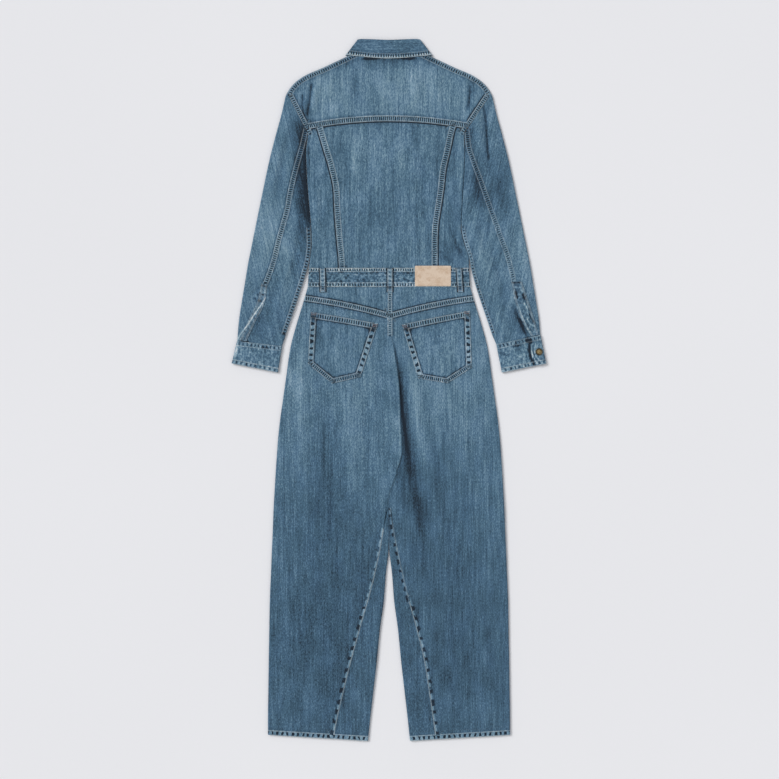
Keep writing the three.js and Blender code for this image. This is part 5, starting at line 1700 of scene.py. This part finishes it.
def bar_tacks():
    """The zone, lines and dye of each bar tack."""
    tacks = []
    for side, sign in SIGN.items():
        for (top, _), inward in ((POCKET[side][0], 1), (POCKET[side][2], -1)):
            lines = tack_lines(top[0] + inward * 6.5, top[1] - 4.4, 11, 7, count=11)
            tacks.append((f"pocket_{side}", lines, -0.7))
        x, y = shoulder(side, 0.05, 5)[0]
        tacks.append(("back", tack_lines(x - sign * 3, y - 4, 8, 7, angle=0.5 * sign, count=6), 0.1))
        for ends in SLEEVE_PLACKET[side][:2]:
            x, y = np.mean(ends, 0)
            tacks.append((f"placket_{side}", tack_lines(x, y - 4, 9, 5), 0.9))
    for x, lean in BACK_LOOPS:
        tacks.append(("loop", tack_lines(x, 258.5, 11, 4), 0))
        tacks.append(("loop", tack_lines(x + lean * 3, 213.5, 11, 4), -0.5))
    return tacks


# ---- Settings ----
class JumpsuitCloth(bpy.types.PropertyGroup):
    """Sizes of the cloth"""

    cell: FloatProperty(name="Cell", description="Length of the cloth's cells", default=3.4 * MM,
                        min=1.5 * MM, max=12 * MM, unit="LENGTH")
    relief: FloatProperty(name="Creases", description="Share of the creases' full height", default=1.0,
                          min=0, max=1.5, subtype="FACTOR")


class JumpsuitThread(bpy.types.PropertyGroup):
    """Sizes of the stitching"""

    pitch: FloatProperty(name="Stitch length", description="Length of one stitch and its gap",
                         default=3.2 * MM, min=2 * MM, max=8 * MM, unit="LENGTH")
    radius: FloatProperty(name="Thread radius", description="Half the thickness of the thread",
                          default=0.42 * MM, min=0.1 * MM, max=1 * MM, unit="LENGTH")


def colour_property(name, description, hex_colour):
    return FloatVectorProperty(name=name, description=description, default=paint(hex_colour),
                               subtype="COLOR", min=0, max=1)


class JumpsuitColours(bpy.types.PropertyGroup):
    """Colours of the cloth and the trims"""

    # deep is also the darkest end of painted shade in folds, gaps and under laps
    deep: colour_property("Deep indigo", "Unwashed cloth in folds and between seam ridges", "14222f")
    # shadow is also the tone of painted shade, besides cloth that the wash hardly reached
    shadow: colour_property("Dark indigo", "Cloth that the wash hardly reached", "3c5a70")
    indigo: colour_property("Indigo", "The cloth's main colour", "4f7087")
    worn: colour_property("Worn indigo", "Washed cloth", "829fae")
    bare: colour_property("Bare cotton", "Cotton on the worn ridges of the seams", "c9d2d4")
    thread: colour_property("Thread", "The topstitching", "abb3b5")
    leather: colour_property("Leather", "The patch", "d5bfaa")
    brass: colour_property("Brass", "The buttons", "a8946a")


class JumpsuitStage(bpy.types.PropertyGroup):
    """The floor, the light and the camera"""

    floor: colour_property("Floor", "The pale floor", "e9e9ec")
    frame_width: FloatProperty(name="Frame width", description="Width that the camera takes in on the floor",
                               default=1.67485, min=0.5, max=5, unit="LENGTH")
    distance: FloatProperty(name="Camera distance", description="Height of the camera over the floor",
                            default=4.0, min=1, max=20, unit="LENGTH")


# ---- Operators ----
class JUMPSUIT_OT_bodice(bpy.types.Operator):
    """Make the yoke, the back panels and the two fronts"""

    bl_idname = "jumpsuit.bodice"
    bl_label = "Bodice"

    def execute(self, context):
        fronts = ["bodice_front_left", "bodice_front_right"]
        lay_cloth("back_yoke", back_yoke(), ("back", None), fronts, seed=1)
        lay_cloth("centre_back", centre_back(), ("back", None), fronts, seed=2)
        for i, (side, front) in enumerate(zip(SIGN, fronts)):
            lay_cloth(f"side_back_{side}", side_back(side), ("back", "front"), [front], seed=3 + i)
            lay_cloth(front, bodice_front(side), ("back", "front"), ["collar", "front_placket"], seed=5 + i)
        return {"FINISHED"}


class JUMPSUIT_OT_sleeves(bpy.types.Operator):
    """Make the sleeves, their plackets and their cuffs"""

    bl_idname = "jumpsuit.sleeves"
    bl_label = "Sleeves"

    def execute(self, context):
        for i, (side, sign) in enumerate(SIGN.items()):
            top, under = f"sleeve_top_{side}", f"sleeve_under_{side}"
            tube = {"zones": (f"sleeve_{side}", "sleeve_front"), "foot": sleeve_lift,
                    "grain": -sign * SLEEVE_GRAIN}
            lay_cloth(top, sleeve_top(side), seed=7 + i, **tube)
            lay_cloth(under, sleeve_under(side), rests_on=[top], seed=9 + i, **tube)
            strip = [[flat(*outer), flat(*np.mean([outer, inner], 0)), flat(*inner)]
                     for outer, inner in SLEEVE_PLACKET[side]]
            lay_cloth(f"sleeve_placket_{side}", strip, (f"placket_{side}", None), [top, under], foot=0.0,
                      top=STACK + REST + PLACKET_WALL, wall=PLACKET_WALL, grain=-sign * PLACKET_GRAIN,
                      seed=11 + i, cell=FINE_CELL)
            make_cuff(side)
        return {"FINISHED"}


class JUMPSUIT_OT_collar(bpy.types.Operator):
    """Make the folded collar"""

    bl_idname = "jumpsuit.collar"
    bl_label = "Collar"

    def execute(self, context):
        make_collar()
        return {"FINISHED"}


class JUMPSUIT_OT_waist(bpy.types.Operator):
    """Make the waistband, the belt loops and the leather patch"""

    bl_idname = "jumpsuit.waist"
    bl_label = "Waist"

    def execute(self, context):
        lay_cloth("waistband", waistband_rows(), ("band", "band_front"),
                  ["waist_button", "belt_loop_4", "belt_loop_5"], foot=BAND_LIFT,
                  top=BAND_OUTER, wall=BAND_WALL, grain=math.pi / 2, seed=13)
        for i, (x, lean) in enumerate(BACK_LOOPS):
            lay_cloth(f"belt_loop_{i + 1}", loop_rows(x, lean), ("loop", None),
                      ["waistband", "hip_yoke_left", "hip_yoke_right"], foot=0.0,
                      top=lambda x, y: read(LOOP_PROFILE, 1, y) + LOOP_WALL, wall=LOOP_WALL, seed=14 + i,
                      cell=LOOP_CELL)
        for i in (4, 5):
            low, high = span(f"belt_loop_{i}")
            lay_cloth(f"belt_loop_{i}", strip_rows(low, high), ("loop_front", None), foot=0.0, top=high[2],
                      wall=LOOP_WALL, seed=14 + i, cell=HIDDEN_LOOP_CELL)
        make_patch()
        return {"FINISHED"}


class JUMPSUIT_OT_legs(bpy.types.Operator):
    """Make the hip yokes, the legs and the back pockets"""

    bl_idname = "jumpsuit.legs"
    bl_label = "Hips and legs"

    def execute(self, context):
        for i, side in enumerate(SIGN):
            front = f"leg_front_{side}"
            for name, rows, rests_on, seed in (
                (f"hip_yoke_{side}", hip_yoke(side), front, 22),
                (f"leg_back_{side}", leg_back(side), front, 24),
                (front, leg_front(side), "fly_strip", 26),
            ):
                lay_cloth(name, rows, ("back", "front"), [rests_on], seed=seed + i)
            lay_cloth(f"back_pocket_{side}", pocket_rows(side), (f"pocket_{side}", None),
                      [f"leg_back_{side}"], foot=0.0, top=STACK + REST + WALL, seed=28 + i)
        return {"FINISHED"}


class JUMPSUIT_OT_closures(bpy.types.Operator):
    """Make the front placket, the fly strip and the buttons"""

    bl_idname = "jumpsuit.closures"
    bl_label = "Closures"

    def execute(self, context):
        for i, name in enumerate(("front_placket", "fly_strip")):
            low, high = span(name)
            lay_cloth(name, strip_rows(low, high, 6), ("hidden", None), foot=0.0, top=high[2],
                      wall=PLACKET_WALL, seed=33 + i, cell=HIDDEN_CELL)
        for name in sorted(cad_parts):
            if "button" in name:
                make_button(name)
        return {"FINISHED"}


class JUMPSUIT_OT_stitching(bpy.types.Operator):
    """Lay the topstitching and the bar tacks on the finished cloth"""

    bl_idname = "jumpsuit.stitching"
    bl_label = "Stitching"

    def execute(self, context):
        tree, owners = surfaces()
        rows = [(seam.zone, [seam.line.beside(row) if row else seam.line for row in seam.rows], seam.dyed)
                for seam in SEAMS]
        groups = {}
        for zone, lines, dyed in rows + bar_tacks():
            groups.setdefault(zone, []).extend(lay_stitches(tree, owners, lines, zone, dyed))
        if not any(groups.values()):
            raise RuntimeError("no stitch found its cloth")
        for zone, places in groups.items():
            if places:
                stitch_mesh(f"stitching_{zone}", places)
        return {"FINISHED"}


# The sun lights: strength, spread in degrees, and the way each one stands.
SUNS = {"key": (2.05, 30, (-1.0, 0.55, 1.15)), "fill": (0.35, 60, (0.9, -0.6, 1.4))}
SENSOR = 36.0
SKY = (0.975, 0.985, 1.0, 1)
SKY_STRENGTH = 0.44
FLOOR_HALF = 40.0
FLOOR_DROP = 0.4 * MM
CAMERA_SHIFT = 1.1 * MM


class JUMPSUIT_OT_stage(bpy.types.Operator):
    """Make the pale floor, the soft light and the camera"""

    bl_idname = "jumpsuit.stage"
    bl_label = "Stage"

    def execute(self, context):
        scene, stage = context.scene, context.scene.jumpsuit_stage
        mesh = bpy.data.meshes.new("floor")
        corners = [(x * FLOOR_HALF, y * FLOOR_HALF, 0) for x, y in ((-1, -1), (1, -1), (1, 1), (-1, 1))]
        mesh.from_pydata(corners, [], [(0, 1, 2, 3)])
        floor = bpy.data.objects.new("floor", mesh)
        scene.collection.objects.link(floor)
        board = Board("floor")
        soft = board.noise(board.wire("ShaderNodeTexCoord", "Object"), 0.9, 1)
        colour = board.blend(soft.fit(0.3, 0.7) * 0.3, stage.floor, paint("e4e4e7"))
        mesh.materials.append(board.finish(base_color=colour, roughness=0.9, specular_ior_level=0.1))
        floor.location.z = -FLOOR_DROP
        scene.world = bpy.data.worlds.new("studio")
        scene.world.use_nodes = True
        sky = scene.world.node_tree.nodes["Background"]
        sky.inputs[0].default_value = SKY
        sky.inputs[1].default_value = SKY_STRENGTH
        for name, (strength, angle, way) in SUNS.items():
            light = bpy.data.objects.new(name, bpy.data.lights.new(name, "SUN"))
            light.data.energy, light.data.angle = strength, math.radians(angle)
            light.rotation_euler = Vector(way).to_track_quat("Z", "Y").to_euler()
            light.location = Vector(way) * 2
            scene.collection.objects.link(light)
        camera = bpy.data.objects.new("camera", bpy.data.cameras.new("camera"))
        camera.data.sensor_width = SENSOR
        camera.data.lens = SENSOR * stage.distance / stage.frame_width
        camera.location = (CAMERA_SHIFT, CAMERA_SHIFT, stage.distance)
        camera.data.clip_end = 50
        scene.collection.objects.link(camera)
        scene.camera = camera
        scene.view_settings.view_transform = "Standard"
        return {"FINISHED"}


OPERATORS = (
    JUMPSUIT_OT_bodice, JUMPSUIT_OT_sleeves, JUMPSUIT_OT_collar, JUMPSUIT_OT_waist, JUMPSUIT_OT_legs,
    JUMPSUIT_OT_closures, JUMPSUIT_OT_stitching, JUMPSUIT_OT_stage,
)
SETTINGS = {"jumpsuit_cloth": JumpsuitCloth, "jumpsuit_thread": JumpsuitThread,
            "jumpsuit_colours": JumpsuitColours, "jumpsuit_stage": JumpsuitStage}


class JUMPSUIT_PT_panel(bpy.types.Panel):
    bl_idname = "JUMPSUIT_PT_panel"
    bl_label = "Denim Jumpsuit"
    bl_space_type = "VIEW_3D"
    bl_region_type = "UI"
    bl_category = "Jumpsuit"

    def draw(self, context):
        for key in SETTINGS:
            group = getattr(context.scene, key)
            box = self.layout.box()
            for name in group.bl_rna.properties.keys():
                if name not in ("rna_type", "name"):
                    box.prop(group, name)
        for operator in OPERATORS:
            self.layout.operator(operator.bl_idname)


CLASSES = (*SETTINGS.values(), *OPERATORS, JUMPSUIT_PT_panel)


def register():
    for item in CLASSES:
        bpy.utils.register_class(item)
    for key, group in SETTINGS.items():
        setattr(bpy.types.Scene, key, PointerProperty(type=group))


def unregister():
    for key in SETTINGS:
        delattr(bpy.types.Scene, key)
    for item in reversed(CLASSES):
        bpy.utils.unregister_class(item)


def main():
    register()
    for operator in OPERATORS:
        group, name = operator.bl_idname.split(".")
        getattr(getattr(bpy.ops, group), name)()


if __name__ == "__main__":
    main()
